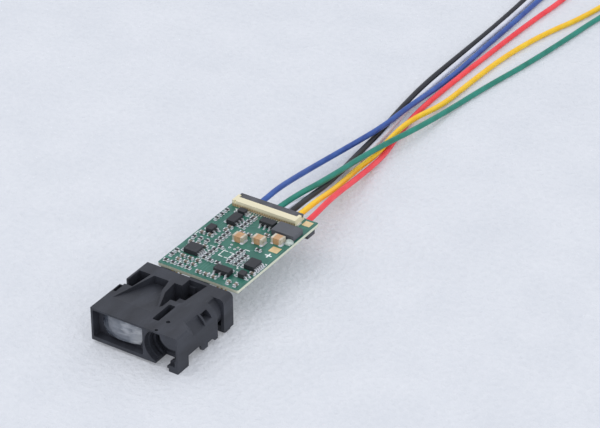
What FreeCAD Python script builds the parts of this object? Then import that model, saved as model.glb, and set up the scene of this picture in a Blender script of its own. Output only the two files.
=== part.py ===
import FreeCAD, Part
import math
import os
from FreeCAD import Vector

# Compact laser ranging module: a black moulded optics holder in front, a green circuit board behind it,
# a flat-cable connector on the board and six flying leads under its rear edge.
# Millimetres. +X is to the right seen from the front, -Y is the way the module looks, +Z is up.
# The origin is under the middle of the module, on the surface that its feet stand on.

# ---- driving dimensions: the whole module ----
MODULE_LENGTH = 41.5        # front face of the holder to the rear edge of the board
HOLDER_WIDTH = 17.0
HOLDER_LENGTH = 15.7
HOLDER_TOP = 6.8            # top of the holder above the ground
HOLDER_BOTTOM = 0.6         # underside of the holder; only the feet reach the ground
SKIN = 0.6                  # moulded wall thickness
THIN_SKIN = 0.35            # thinnest moulded walls
FOOT_SIZE = 1.8
FOOT_ROUND = 0.3
SEAT_GAP = 0.05             # a part laid or glued in its seat
OVERRUN = 1.0               # how far a cut runs past the face that it opens

# ---- receiver: window, lens, light cone, filter and photodiode ----
FRAME_SIDE = 0.4            # thin bars around the receiver window
FRAME_TOP = 0.4
FRAME_BOTTOM = 0.7
WINDOW_POST = 0.35          # wall between the window and the laser mouth
WINDOW_ROUND = 0.25
LENS_RADIUS = 3.9
LENS_DEPTH = 1.5            # front face of the holder to the rim of the lens
LENS_EDGE = 1.1             # thickness of the lens at its rim
LENS_CROWN = 0.9            # how far the middle of the lens stands proud of its rim
LENS_TOP_GAP = 0.10         # upper flat of the lens to the window's top
LENS_LOW_GAP = 0.55         # lower flat of the lens to the window's bottom
LENS_SEAT_OVERLAP = 0.35    # how much of the lens rim the seat wall holds
CONE_REAR_WIDTH = 2.0
CONE_REAR_HEIGHT = 2.0
CONE_REAR_INSET = 2.8       # rear wall of the holder to the end of the light cone
CONE_REAR_LOW = 2.7         # underside of the cone's rear end above the ground
DETECTOR_FROM_LEFT = 4.75   # left side of the holder to the photodiode
FILTER_SIZE = 3.0
FILTER_THICK = 0.5
PHOTODIODE_RADIUS = 1.5
PHOTODIODE_LENGTH = 1.5

# ---- laser: stepped bore, collimator and diode ----
LASER_FROM_RIGHT = 3.25     # laser axis to the right side of the holder
LASER_HEIGHT = 4.0
MOUTH_RADIUS = 3.2
MOUTH_DEPTH = 0.9
MOUTH_SILL = 1.2            # where the mouth's upright side starts, above the ground
MOUTH_SLOT_LEFT = 1.1       # laser axis to the left side of the slot under the mouth
MOUTH_SLOT_TOP = 2.0
MOUTH_BLOCK_LENGTH = 3.0    # square front part beside the mouth, and its foot
FOOT_GAP = 0.3              # slot under the mouth to the foot
LOBE_RADIUS = 2.2           # rounded lobe of the front wall that hoods the mouth
LOBE_FROM_RIGHT = 1.2
LOBE_DROP = 0.2             # the lobe's centre below the top
LOBE_THICK = 0.7
RING_RADIUS = 2.85          # the ring between the mouth and the threaded bore
RING_DEPTH = 0.8
GROOVE_RADIUS = 3.15        # relief groove behind the ring
GROOVE_WIDTH = 0.35
TUBE_WALL = 0.3
THREAD_RADIUS = 2.4         # crest of the collimator's thread
THREAD_DEPTH = 0.14
THREAD_PITCH = 0.5
THREAD_CLEARANCE = 0.06     # radial running clearance of the collimator in its bore
BARREL_LENGTH = 4.2
BARREL_FRONT = 2.5          # front face of the holder to the front of the collimator
WRENCH_SLOT = 0.5           # width and depth of the barrel's two wrench slots
GLASS_RADIUS = 1.75
GLASS_THICK = 1.2
GLASS_CROWN = 0.45
GLASS_LIP = 0.3             # ledge in the barrel that the glass rests on
RETAINER_WIDTH = 0.45
RETAINER_THICK = 0.4
DIODE_FLANGE_RADIUS = 1.9
DIODE_FLANGE_THICK = 1.0
DIODE_CAN_RADIUS = 1.35
DIODE_CAN_LENGTH = 1.9
DIODE_CAN_CLEARANCE = 0.3
DIODE_WINDOW_RADIUS = 0.5
DIODE_WINDOW_THICK = 0.25
DIODE_REAR_INSET = 0.9      # rear of the diode flange to the rear face of the holder
LEAD_RADIUS = 0.17
LEAD_CIRCLE = 0.8
LEAD_BEND = 0.45
LEAD_RISE_LENGTH = 0.9      # how far back a lead runs while it turns up to the board
LEAD_REACH = 1.6            # how far a lead reaches under the board

# ---- outside of the tube: its rounded edge, side arch and rear block ----
HUMP_ROUND = 2.6            # rounding of the long top right edge
CORNER_ROUND = 0.9          # rounding of that edge at the rear block
FRONT_ROUND = 0.35          # rounding of that edge beside the mouth
ROUND_EASING = 1.8          # length over which the rounding grows behind the mouth
REAR_BLOCK_LENGTH = 2.7     # square block at the rear right corner
REAR_GAP = 1.8              # gap in front of that block
REAR_GAP_SILL = 2.2         # low part of that gap, above the holder's underside
REAR_GAP_TOP_WIDTH = 2.3
REAR_GAP_MID_WIDTH = 1.0
ARCH_INSET = 1.1            # how deep the side arch is
ARCH_HEIGHT = 1.4           # top of the side arch above the holder's underside
STUB_FRONT_FROM_BLOCK = 6.7     # rear block to the front of the first of two short stubs under the side
STUB_FRONT_LENGTH = 2.1
STUB_REAR_LENGTH = 1.5
STUB_SLOPE = 0.7            # how far the front of a stub slopes back on its way down
STUB_HEIGHT = 0.7

# ---- pockets in the holder's top ----
SIDE_POCKET_START = 8.5     # front face to the pocket beside the light cone
SIDE_POCKET_WIDTH = 1.8
SIDE_POCKET_FLARE = 0.5
SIDE_POCKET_DEPTH = 4.2
NOTCH_START = 8.0           # front face to the notch in the left side
NOTCH_LENGTH = 1.8
NOTCH_DEPTH = 2.4
SMALL_POCKET_START = 5.9
SMALL_POCKET_LENGTH = 1.9
SMALL_POCKET_DEPTH = 2.0
SMALL_POCKET_WALL = 0.12
ROOF_START = 4.2            # front face to where the roof over the light cone slopes down
ROOF_DROP = 1.5
ROOF_SIDE = 1.3             # left side of the holder to the front left corner of the roof
ROOF_TAPER = 2.0
ROOF_REAR_HALF = 1.5        # photodiode axis to the roof's right side at its rear
ROOF_BEND = 2.2             # the same at the bend in that side
POCKET_BEND = 10.0          # front face to that bend
RIB_FROM_WINDOW = 0.9       # right side of the window to the rib beside the roof
RIB_START = 6.0
RIB_WIDTH = 0.3
CONE_WALL_REAR = 2.6        # photodiode axis to the cone's outer wall, at the rear and at the bend
CONE_WALL_BEND = 2.9
POCKET_STEP = 1.5           # step in the rear of the deep pocket
POCKET_START = 8.7          # front face to the wide part of the deep pocket
HUMP_SIDE_FRONT = 2.1       # laser axis to the pocket's right side, front and rear
HUMP_SIDE_REAR = 1.4
CROSS_RIB_START = 10.0
CROSS_RIB_THICK = 1.2
CROSS_RIB_DROP = 1.2
SLOT_START = 2.7            # front face to the slot beside the tube
SLOT_LENGTH = 4.8
SLOT_WIDTH = 1.25
SLOT_ROUND = 0.25
WEDGE_START = 4.6           # front face to where the underside starts to rise with the light cone
WEDGE_RISE = 1.3

# ---- small marks on the hump ----
SINK_RADIUS = 2.3
SINK_OUT = 0.7              # the sink's axis out from the right side, and above the top
SINK_UP = 0.2
SINK_START = 4.5
SINK_LENGTH = 3.3
GLUE_WINDOW_START = 8.2
GLUE_WINDOW_LENGTH = 1.7
GLUE_WINDOW_WIDTH = 2.0
GLUE_WINDOW_SILL = 1.2      # above the laser axis
MARK_DEPTH = 0.28
AIR_HOLE_RADIUS = 0.35
AIR_HOLE_START = 3.3
AIR_HOLE_LEFT = 0.75        # laser axis to the air hole
PIN_MARK_START = 0.45
PIN_MARK_LEFT = 1.05

# ---- circuit board ----
BOARD_GAP = 1.4             # rear face of the holder to the front edge of the board
BOARD_LEFT_INSET = 1.0      # left side of the holder to the left edge of the board
BOARD_THICK = 0.6
BOARD_TOP = 6.4
BOARD_CORNER = 0.3
LEDGE_LENGTH = 3.2          # how far the holder's ledge reaches under the board
LEDGE_THICK = 1.5
LEDGE_ROOT = 1.0            # how far the ledge runs into the holder
LEDGE_ROUND = 0.4
LEDGE_SPANS = [(0.7, 2.3), (6.6, 9.2)]      # its tongues, from the left edge of the board
GLUE_BEAD = 0.4
PAD_THICK = 0.04
SOLDER_GAP = 0.03           # a chip part's underside above the board

# ---- flat-cable connector ----
FPC_PINS = 20
FPC_PITCH = 0.5
FPC_END = 1.65              # last contact to the end of the housing
FPC_HEIGHT = 1.2
FPC_DEPTH = 2.9             # housing and flap together, front to rear
FPC_HEAD_DEPTH = 1.4        # closed front part of the housing
FPC_FRONT_WALL = 0.45
FPC_FROM_LEFT = 0.5         # board edge to the housing
FPC_FROM_REAR = 0.3
FPC_SLOT = 0.3              # height of the slot for the flat cable
FPC_FLOOR = 0.28
FPC_CHEEK = 0.55
FPC_CHEEK_REACH = 0.35      # flap's pin to the rear of a cheek's full height
FPC_MARK = 0.4              # notch that marks contact one
CONTACT_WIDTH = 0.2
CONTACT_THICK = 0.1
CONTACT_TAIL = 0.6
CONTACT_INSET = 0.3         # front of the housing to the contact's riser
CONTACT_SHORT = 0.5         # end of the contact's beam to the rear of the housing
TAB_REACH = 0.35
TAB_LENGTH = 1.2
TAB_START = 0.4
TAB_THICK = 0.15
FLAP_HEIGHT = 0.5
FLAP_GAP = 0.06
FLAP_EDGE = 0.2             # slope of the flap's rear edge
FLAP_WING_START = 0.66      # pin to the wide rear part of the flap, which covers the low ends of the cheeks
FLAP_WING_INSET = 0.1       # end of the housing to the end of that part
FLAP_PIN_RADIUS = 0.16
FLAP_PIN_LENGTH = 0.3
FLAP_PIN_CLEARANCE = 0.03

# ---- packages on the board ----
CHIP_GAP = 0.05             # underside of a chip body above the board
CHIP_ROUND = 0.12
LEAD_THICK = 0.12
LEAD_WIDTH = 0.28
LEAD_OUT = 0.75             # how far a bent lead reaches from its package
SMALL_PART = (1.0, 0.5, 0.35)       # length, width and height of the small chip parts
END_CAP = 0.22
TAN_PART = (2.0, 1.5, 1.15)
TAN_END_CAP = 0.4
PROCESSOR_PLACE = (7.0, 13.5)
PROCESSOR_SIZE = 5.0
PROCESSOR_HEIGHT = 0.85
PROCESSOR_PADS = 8          # on each side
PROCESSOR_PITCH = 0.5
PROCESSOR_PAD = (0.5, 0.24)
COIL_SIZE = (1.9, 2.3, 1.0)         # length, width and height of the coil beside the wires
COIL_GAP = 0.3              # last wire's pad to the coil
COIL_FROM_REAR = 0.85       # coil to the rear edge of the board
INDUCTOR = (13.4, 18.6, 4.5, 3.0, 1.0)
VIA_RADIUS = 0.24
VIA_HOLE = 0.1
PLUS_SIZE = 1.3
PLUS_BAR = 0.26

# Places on the board are u from its left edge and v from its front edge, on a grid that this many units
# stretch over the board's width and over the room between its front edge and the flat-cable connector.
LAYOUT_GRID = (16.0, 21.2)

# Each chip: place u, v; size along u and v; height; then its lead rows as (side, count, pitch).
CHIPS = {
    "receiver_amplifier": (3.2, 5.9, 2.6, 2.4, 0.85, [("left", 4, 0.5), ("right", 4, 0.5)]),
    "laser_driver": (11.0, 3.1, 3.0, 1.5, 0.9, [("front", 3, 1.15), ("rear", 3, 1.15)]),
    "mixer_chip": (14.1, 7.2, 2.0, 2.5, 0.85, [("left", 5, 0.5), ("right", 5, 0.5)]),
    "level_shifter": (14.3, 3.9, 1.2, 1.3, 0.8, [("left", 2, 0.8), ("right", 2, 0.8)]),
    "voltage_reference": (2.1, 12.7, 1.3, 1.7, 0.85, [("left", 1, 1.0), ("right", 2, 1.0)]),
    "comparator_chip": (3.8, 17.1, 1.6, 2.8, 0.95, [("left", 3, 0.85), ("right", 3, 0.85)]),
    "small_regulator": (3.4, 20.05, 1.5, 1.1, 0.7, [("left", 2, 0.6), ("right", 2, 0.6)]),
    "bias_switch": (9.25, 19.1, 2.8, 1.4, 0.95, [("front", 3, 0.95)]),
}
TAN_PLACES = [(7.8, 12.7), (10.9, 13.9), (13.6, 15.6)]
TEST_PADS = [(14.4, 13.4, 1.7, 1.6), (14.6, 23.1, 1.5, 1.5)]      # place u, v; size along u and v
PLUS_PLACE = (14.4, 11.4)
VIA_PLACES = [(7.4, 10.9), (8.8, 10.7), (7.6, 10.0), (8.6, 10.0)]

# Rows of small parts: first place u, v; step along u and v; how many; True where the part lies along v.
RESISTOR_ROWS = [
    (1.0, 1.1, 1.45, 0.0, 4, False), (0.75, 3.0, 0.0, 1.35, 2, True), (5.95, 5.0, 0.0, 1.0, 4, False),
    (7.2, 4.9, 1.5, 0.0, 2, False), (10.1, 6.2, 0.0, 0.95, 5, False), (0.8, 9.4, 1.3, 0.0, 3, True),
    (5.0, 10.3, 0.0, 1.0, 4, False), (0.7, 16.2, 0.0, 1.5, 3, True), (6.0, 16.2, 0.0, 1.0, 4, False),
    (12.2, 11.7, 0.0, 1.0, 1, False), (15.3, 16.3, 0.0, 1.0, 1, True), (6.4, 9.1, 1.0, 0.0, 1, False), (11.5, 6.2, 0.0, 0.95, 4, False),
]
CAPACITOR_ROWS = [
    (2.6, 2.4, 1.5, 0.0, 3, False), (2.6, 3.7, 1.5, 0.0, 3, False), (13.4, 1.1, 1.4, 0.0, 2, True),
    (15.3, 5.3, 0.0, 1.0, 1, False), (1.3, 7.9, 1.4, 0.0, 3, False), (7.5, 1.1, 1.5, 0.0, 3, False), (4.2, 14.0, 0.0, 1.1, 2, False),
    (1.2, 11.3, 1.6, 0.0, 2, False), (6.9, 14.8, 1.5, 0.0, 2, False), (10.9, 16.3, 1.4, 0.0, 1, False),
    (6.0, 19.8, 0.0, 1.0, 1, False),
]
UNDER_ROWS = [
    (2.4, 9.0, 1.6, 0.0, 4, True), (2.4, 19.0, 1.6, 0.0, 3, True), (12.6, 8.0, 0.0, 1.2, 5, False),
]

# ---- wires ----
WIRE_RADIUS = 0.52
CORE_RADIUS = 0.24
CORE_LENGTH = 3.0           # stripped and tinned far end
WIRE_UNDER_BOARD = 1.0      # insulation that reaches under the board
CORE_UNDER_BOARD = 2.4      # bare end on its pad
WIRE_DROP = 0.04            # air between the insulation and the board
PAD_HALF_WIDTH = 0.5
PAD_MARGIN = 0.25           # how far a pad runs past the bare wire
SOLDER_SKIN = 0.1

# Each wire: x where it leaves the board, then its way as (x, distance behind the board, height).
WIRES = {
    "blue": (-4.4, [
        (-4.5, 2.6, 5.15), (-4.9, 8.0, 4.8), (-5.5, 14.5, 3.5), (-5.8, 22.0, 2.2), (-4.6, 31.0, 1.9),
        (-3.2, 40.5, 1.85), (-3.2, 50.0, 1.65), (-3.3, 59.0, 0.7), (-3.2, 68.0, 0.53), (-3.7, 80.0, 0.53),
        (-3.9, 92.0, 0.53), (-4.4, 104.0, 0.53), (-4.3, 114.0, 0.53),
    ]),
    "green": (-1.0, [
        (-1.0, 2.8, 5.2), (-0.5, 8.0, 5.12), (0.1, 13.5, 4.65), (0.25, 20.0, 3.9), (0.3, 27.0, 3.1),
        (1.0, 35.0, 2.4), (2.2, 44.0, 1.6), (2.9, 54.5, 0.6), (4.2, 65.0, 0.53), (6.5, 77.5, 0.53),
        (8.1, 90.0, 0.53), (9.3, 101.5, 0.53), (11.0, 112.0, 0.53),
    ]),
    "white": (0.4, [
        (0.3, 2.8, 5.1), (0.05, 8.0, 3.9), (-0.6, 13.5, 2.2), (-1.0, 19.0, 0.9), (-1.3, 25.0, 0.53),
        (-1.8, 32.0, 0.53), (-2.4, 39.0, 0.53), (-3.7, 48.0, 0.53), (-4.7, 58.0, 0.53), (-4.9, 70.0, 0.53),
        (-5.1, 83.0, 0.53), (-5.4, 96.0, 0.53), (-6.1, 108.0, 0.53), (-6.0, 117.0, 0.53),
    ]),
    "black": (1.6, [
        (1.5, 2.6, 5.15), (1.05, 8.0, 4.6), (0.15, 14.5, 3.25), (-0.75, 21.0, 2.3), (-2.0, 28.0, 1.6),
        (-3.2, 34.5, 0.7), (-3.9, 41.0, 0.53), (-5.1, 49.5, 0.53), (-6.1, 60.0, 0.53), (-6.2, 72.0, 0.53),
        (-6.2, 85.0, 0.53), (-6.6, 98.0, 0.53), (-7.4, 109.0, 0.53), (-7.5, 116.0, 0.53),
    ]),
    "yellow": (3.1, [
        (3.2, 2.8, 5.1), (2.9, 8.0, 4.7), (2.4, 13.5, 3.6), (1.2, 20.0, 2.2), (0.2, 26.0, 1.25),
        (0.5, 32.0, 1.25), (-0.2, 38.5, 1.7), (-0.4, 45.5, 1.65), (0.9, 55.0, 0.6), (0.9, 65.0, 0.53),
        (1.4, 78.0, 0.53), (3.4, 90.0, 0.53), (6.9, 101.0, 0.53), (8.3, 111.0, 0.53),
    ]),
    "red": (5.6, [
        (5.6, 2.4, 5.2), (4.7, 8.0, 4.7), (3.7, 13.5, 3.7), (2.8, 20.0, 2.4), (1.9, 28.0, 1.2),
        (1.0, 34.5, 0.55), (-0.5, 41.0, 0.53), (-1.8, 50.0, 0.53), (-2.0, 60.0, 0.53), (-1.8, 71.0, 0.53),
        (-1.5, 83.0, 0.53), (-1.1, 94.0, 0.53), (-0.2, 105.0, 0.53), (-0.4, 114.0, 0.53),
    ]),
}

# ---- places that follow from the sizes ----
left = -HOLDER_WIDTH / 2
right = HOLDER_WIDTH / 2
front = -MODULE_LENGTH / 2
holder_rear = front + HOLDER_LENGTH
block_front = holder_rear - REAR_BLOCK_LENGTH
mouth_rear = front + MOUTH_BLOCK_LENGTH
laser_x = right - LASER_FROM_RIGHT
window_left = left + FRAME_SIDE
window_right = laser_x - MOUTH_RADIUS - WINDOW_POST
window_low = HOLDER_BOTTOM + FRAME_BOTTOM
window_high = HOLDER_TOP - FRAME_TOP
lens_x = (window_left + window_right) / 2
lens_z = (window_low + window_high) / 2
lens_low = window_low + LENS_LOW_GAP
lens_high = window_high - LENS_TOP_GAP
lens_front = front + LENS_DEPTH
lens_rear = lens_front + LENS_EDGE
cone_rear = holder_rear - CONE_REAR_INSET
cone_z = CONE_REAR_LOW + CONE_REAR_HEIGHT / 2
diode_x = left + DETECTOR_FROM_LEFT
can_front = cone_rear + FILTER_THICK + 2 * SEAT_GAP
can_rear = can_front + PHOTODIODE_LENGTH
board_front = holder_rear + BOARD_GAP
board_rear = front + MODULE_LENGTH
board_left = left + BOARD_LEFT_INSET
board_right = right
board_under = BOARD_TOP - BOARD_THICK
barrel_front = front + BARREL_FRONT
barrel_rear = barrel_front + BARREL_LENGTH
glass_face = barrel_front + RETAINER_THICK + GLASS_CROWN + SEAT_GAP
flange_rear = holder_rear - DIODE_REAR_INSET
flange_front = flange_rear - DIODE_FLANGE_THICK
diode_cap = flange_front - DIODE_CAN_LENGTH
bore_radius = THREAD_RADIUS + THREAD_CLEARANCE
tube_radius = bore_radius + TUBE_WALL
fpc_left = board_left + FPC_FROM_LEFT
fpc_right = fpc_left + (FPC_PINS - 1) * FPC_PITCH + 2 * FPC_END
fpc_rear = board_rear - FPC_FROM_REAR
fpc_front = fpc_rear - FPC_DEPTH
fpc_head_rear = fpc_front + FPC_HEAD_DEPTH
fpc_top = BOARD_TOP + FPC_HEIGHT
fpc_slot_low = BOARD_TOP + FPC_FLOOR
fpc_slot_high = fpc_slot_low + FPC_SLOT
flap_pivot_y = fpc_head_rear + FLAP_GAP + FLAP_HEIGHT / 2
flap_pivot_z = fpc_slot_high + FLAP_HEIGHT / 2
wire_z = board_under - WIRE_DROP - WIRE_RADIUS
core_front = board_rear - CORE_UNDER_BOARD
wire_start = board_rear - WIRE_UNDER_BOARD


# ---- shape helpers ----
def box(x0, x1, y0, y1, z0, z1):
    """A block between two corners."""
    return Part.makeBox(x1 - x0, y1 - y0, z1 - z0, Vector(x0, y0, z0))


def rod_y(x, z, radius, y0, y1):
    """A cylinder whose axis runs along Y."""
    return Part.makeCylinder(radius, y1 - y0, Vector(x, y0, z), Vector(0, 1, 0))


def on_laser_axis(radius, y0, y1):
    """A cylinder on the laser's axis."""
    return rod_y(laser_x, LASER_HEIGHT, radius, y0, y1)


def outline(points):
    """A closed wire through the points, which are (x, y, z)."""
    return Part.makePolygon([Vector(*p) for p in points] + [Vector(*points[0])])


def prism_z(points, z0, z1):
    """A plan outline of (x, y) points, raised from z0 to z1."""
    return Part.Face(outline([(x, y, z0) for x, y in points])).extrude(Vector(0, 0, z1 - z0))


def prism_x(points, x0, x1):
    """A side outline of (y, z) points, carried from x0 to x1."""
    return Part.Face(outline([(x0, y, z) for y, z in points])).extrude(Vector(x1 - x0, 0, 0))


def prism_y(points, y0, y1):
    """A front outline of (x, z) points, carried from y0 to y1."""
    return Part.Face(outline([(x, y0, z) for x, z in points])).extrude(Vector(0, y1 - y0, 0))


def rounded(shape, radius, pick):
    """The shape with a fillet on each edge that pick accepts."""
    return shape.makeFillet(radius, [edge for edge in shape.Edges if pick(edge)])


def runs_along(edge, axis):
    """True when a straight edge is parallel to the axis."""
    if len(edge.Vertexes) != 2 or not isinstance(edge.Curve, Part.Line):
        return False
    return abs(abs(edge.Curve.Direction.dot(axis)) - 1) < 1e-6


def soft_block(x0, x1, y0, y1, z0, z1, radius):
    """A block with its upright edges rounded."""
    return rounded(box(x0, x1, y0, y1, z0, z1), radius, lambda e: runs_along(e, Vector(0, 0, 1)))


def joined(shapes):
    """One solid made of touching or overlapping shapes."""
    return shapes[0].fuse(shapes[1:]).removeSplitter()


def group(shapes):
    """Separate solids kept in one node."""
    return Part.makeCompound(shapes)


# ---- optics holder ----
def right_edge_profile(y, radius):
    """Wire across the laser side at y: flat bottom, upright side and a rounded top right edge."""
    turn = radius * math.sqrt(0.5)
    centre = Vector(right - radius, y, HOLDER_TOP - radius)
    arc_start = Vector(right, y, HOLDER_TOP - radius)
    arc_end = Vector(right - radius, y, HOLDER_TOP)
    corners = [arc_end, Vector(window_right, y, HOLDER_TOP), Vector(window_right, y, 0), Vector(right, y, 0),
               arc_start]
    edges = [Part.LineSegment(a, b).toShape() for a, b in zip(corners, corners[1:])]
    edges.append(Part.Arc(arc_start, centre + Vector(turn, 0, turn), arc_end).toShape())
    return Part.Wire(edges)


def laser_side():
    """Right half of the holder: square beside the mouth, rounded along the tube, square at the rear."""
    y_round = mouth_rear + ROUND_EASING
    spans = [
        (front, FRONT_ROUND, mouth_rear, FRONT_ROUND),
        (mouth_rear, FRONT_ROUND, y_round, HUMP_ROUND),
        (y_round, HUMP_ROUND, block_front, HUMP_ROUND),
        (block_front, CORNER_ROUND, holder_rear, CORNER_ROUND),
    ]
    parts = []
    for y0, r0, y1, r1 in spans:
        parts.append(Part.makeLoft([right_edge_profile(y0, r0), right_edge_profile(y1, r1)], True, True))
    return joined(parts)


def side_skirt_cut():
    """What the right side leaves open: an arch, the room round two short stubs and a gap at the rear block."""
    arch_top = HOLDER_BOTTOM + ARCH_HEIGHT
    y_stub = block_front - STUB_FRONT_FROM_BLOCK
    y_gap = block_front - REAR_GAP
    between = [(y_stub + STUB_FRONT_LENGTH, HOLDER_BOTTOM), (y_stub + STUB_FRONT_LENGTH, HOLDER_BOTTOM + STUB_HEIGHT),
               (y_gap - STUB_REAR_LENGTH, HOLDER_BOTTOM + STUB_HEIGHT),
               (y_gap - STUB_REAR_LENGTH + STUB_SLOPE, HOLDER_BOTTOM)]
    arch = prism_x([
        (mouth_rear, -OVERRUN), (mouth_rear, arch_top), (y_stub, arch_top), (y_stub + STUB_SLOPE, HOLDER_BOTTOM),
        *between, (y_gap, HOLDER_BOTTOM), (y_gap, -OVERRUN),
    ], right - ARCH_INSET, right + OVERRUN)
    sill = HOLDER_BOTTOM + REAR_GAP_SILL
    low = box(laser_x + SKIN, right + OVERRUN, y_gap, block_front, -OVERRUN, sill)
    side = prism_y([
        (right - REAR_GAP_TOP_WIDTH, HOLDER_TOP + OVERRUN), (right + OVERRUN, HOLDER_TOP + OVERRUN),
        (right + OVERRUN, sill), (right - SKIN, sill), (right - REAR_GAP_MID_WIDTH, LASER_HEIGHT),
    ], y_gap, block_front)
    tube = on_laser_axis(tube_radius, front, holder_rear)
    return [arch, low.cut(tube), side.cut(tube)]


def under_laser_cut():
    """Clears the moulding under the tube and beside it, down to the surface of the tube itself."""
    ground = box(window_right - OVERRUN, right + OVERRUN, front - OVERRUN, holder_rear + OVERRUN,
                 -OVERRUN, HOLDER_BOTTOM)
    foot = box(right - FOOT_SIZE, right, front, mouth_rear, 0, HOLDER_BOTTOM)
    hollow = box(window_right + SKIN, right - SKIN, mouth_rear + SKIN, holder_rear - SKIN, -OVERRUN,
                 LASER_HEIGHT)
    tube = on_laser_axis(tube_radius, front, holder_rear)
    web = box(laser_x - SKIN / 2, laser_x + SKIN / 2, mouth_rear, holder_rear, HOLDER_BOTTOM, LASER_HEIGHT)
    return [ground.cut(foot), hollow.cut([tube, web])]


def mouth_room():
    """The space that the mouth and its rings stay within, under the roof and inside the side wall."""
    return box(left, right - THIN_SKIN, front - OVERRUN, holder_rear, HOLDER_BOTTOM, HOLDER_TOP - THIN_SKIN)


def laser_bore():
    """Stepped bore: wide mouth, ring, relief groove, threaded bore, beam way and diode seat."""
    y_ring = front + MOUTH_DEPTH
    y_groove = y_ring + RING_DEPTH
    mouth = joined([
        on_laser_axis(MOUTH_RADIUS, front + LOBE_THICK, y_ring),
        on_laser_axis(RING_RADIUS, y_ring, y_groove),
        on_laser_axis(GROOVE_RADIUS, y_groove, y_groove + GROOVE_WIDTH),
    ])
    return [
        mouth.common(mouth_room()),
        on_laser_axis(bore_radius, y_groove, barrel_rear + SKIN),
        on_laser_axis(DIODE_CAN_RADIUS + DIODE_CAN_CLEARANCE, barrel_rear, holder_rear),
        on_laser_axis(DIODE_FLANGE_RADIUS + SEAT_GAP, flange_front - SEAT_GAP, holder_rear + OVERRUN),
    ]


def mouth_opening():
    """The opening of the front wall: the mouth's circle without its lobe, and open below to the foot."""
    y0 = front - OVERRUN
    y1 = front + LOBE_THICK
    circle = on_laser_axis(MOUTH_RADIUS, y0, y1).common(mouth_room())
    low = box(laser_x, right - SKIN, y0, y1, MOUTH_SILL, LASER_HEIGHT)
    slot = box(laser_x - MOUTH_SLOT_LEFT, right - FOOT_SIZE - FOOT_GAP, y0, mouth_rear, -OVERRUN,
               MOUTH_SLOT_TOP)
    lobe = rod_y(right - LOBE_FROM_RIGHT, HOLDER_TOP - LOBE_DROP, LOBE_RADIUS, y0, y1)
    return [circle.fuse(low).cut(lobe), slot]


def lens_disc(radius, y0, y1, ease):
    """A round disc cut flat above and below as the lens is, with some ease at the flats."""
    disc = rod_y(lens_x, lens_z, radius, y0, y1)
    return disc.common(box(lens_x - radius, lens_x + radius, y0, y1, lens_low - ease, lens_high + ease))


def rectangle(x, half_width, low, high, y):
    """A closed upright wire at y, centred on x."""
    return outline([(x - half_width, y, low), (x + half_width, y, low), (x + half_width, y, high),
                    (x - half_width, y, high)])


def receiver_window():
    """Window pocket in front of the lens, the lens seat behind it and the light cone to the photodiode."""
    pocket = box(window_left, window_right, front - OVERRUN, lens_front, window_low, window_high)
    window = rounded(pocket, WINDOW_ROUND, lambda e: runs_along(e, Vector(0, 1, 0)))
    seat = lens_disc(LENS_RADIUS + SEAT_GAP, lens_front, lens_rear + SEAT_GAP, SEAT_GAP)
    cone = Part.makeLoft([
        rectangle(lens_x, LENS_RADIUS - LENS_SEAT_OVERLAP, lens_low + LENS_SEAT_OVERLAP,
                  lens_high - LENS_SEAT_OVERLAP, lens_rear),
        rectangle(diode_x, CONE_REAR_WIDTH / 2, CONE_REAR_LOW, CONE_REAR_LOW + CONE_REAR_HEIGHT, cone_rear),
    ], True, True)
    half = FILTER_SIZE / 2 + SEAT_GAP
    filter_seat = box(diode_x - half, diode_x + half, cone_rear, can_front, cone_z - half, cone_z + half)
    can_seat = rod_y(diode_x, cone_z, PHOTODIODE_RADIUS + SEAT_GAP, cone_rear, holder_rear + OVERRUN)
    return [window, seat, cone, filter_seat, can_seat]


def left_pockets():
    """Pockets beside the light cone, open at the top, and the notch in the left side."""
    top = HOLDER_TOP + OVERRUN
    y0 = front + SIDE_POCKET_START
    x0 = left + THIN_SKIN
    x1 = x0 + SIDE_POCKET_WIDTH
    pocket = prism_z([(x0, y0), (x1, y0), (x1 + SIDE_POCKET_FLARE, block_front), (x0, block_front)],
                     HOLDER_TOP - SIDE_POCKET_DEPTH, top)
    y1 = front + NOTCH_START
    notch = box(left - OVERRUN, left + SKIN, y1, y1 + NOTCH_LENGTH, HOLDER_TOP - NOTCH_DEPTH, top)
    y2 = front + SMALL_POCKET_START
    small = box(left + SMALL_POCKET_WALL, left + SMALL_POCKET_WALL + SKIN, y2, y2 + SMALL_POCKET_LENGTH,
                HOLDER_TOP - SMALL_POCKET_DEPTH, top)
    return [pocket, notch, small]


def roof_cut():
    """Slopes the roof over the light cone down towards the rear, between its side and the rib."""
    y0 = front + ROOF_START
    rib_x = window_right - RIB_FROM_WINDOW
    slope = prism_x([
        (y0, HOLDER_TOP), (block_front, HOLDER_TOP - ROOF_DROP), (block_front, HOLDER_TOP + OVERRUN),
        (y0, HOLDER_TOP + OVERRUN),
    ], left, right)
    plan = prism_z([
        (left + ROOF_SIDE, y0), (left + ROOF_SIDE + ROOF_TAPER, block_front),
        (diode_x + ROOF_REAR_HALF, block_front), (diode_x + ROOF_BEND, front + POCKET_BEND),
        (rib_x - RIB_WIDTH, front + RIB_START), (rib_x - RIB_WIDTH, y0),
    ], 0, HOLDER_TOP + OVERRUN)
    return slope.common(plan)


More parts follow.
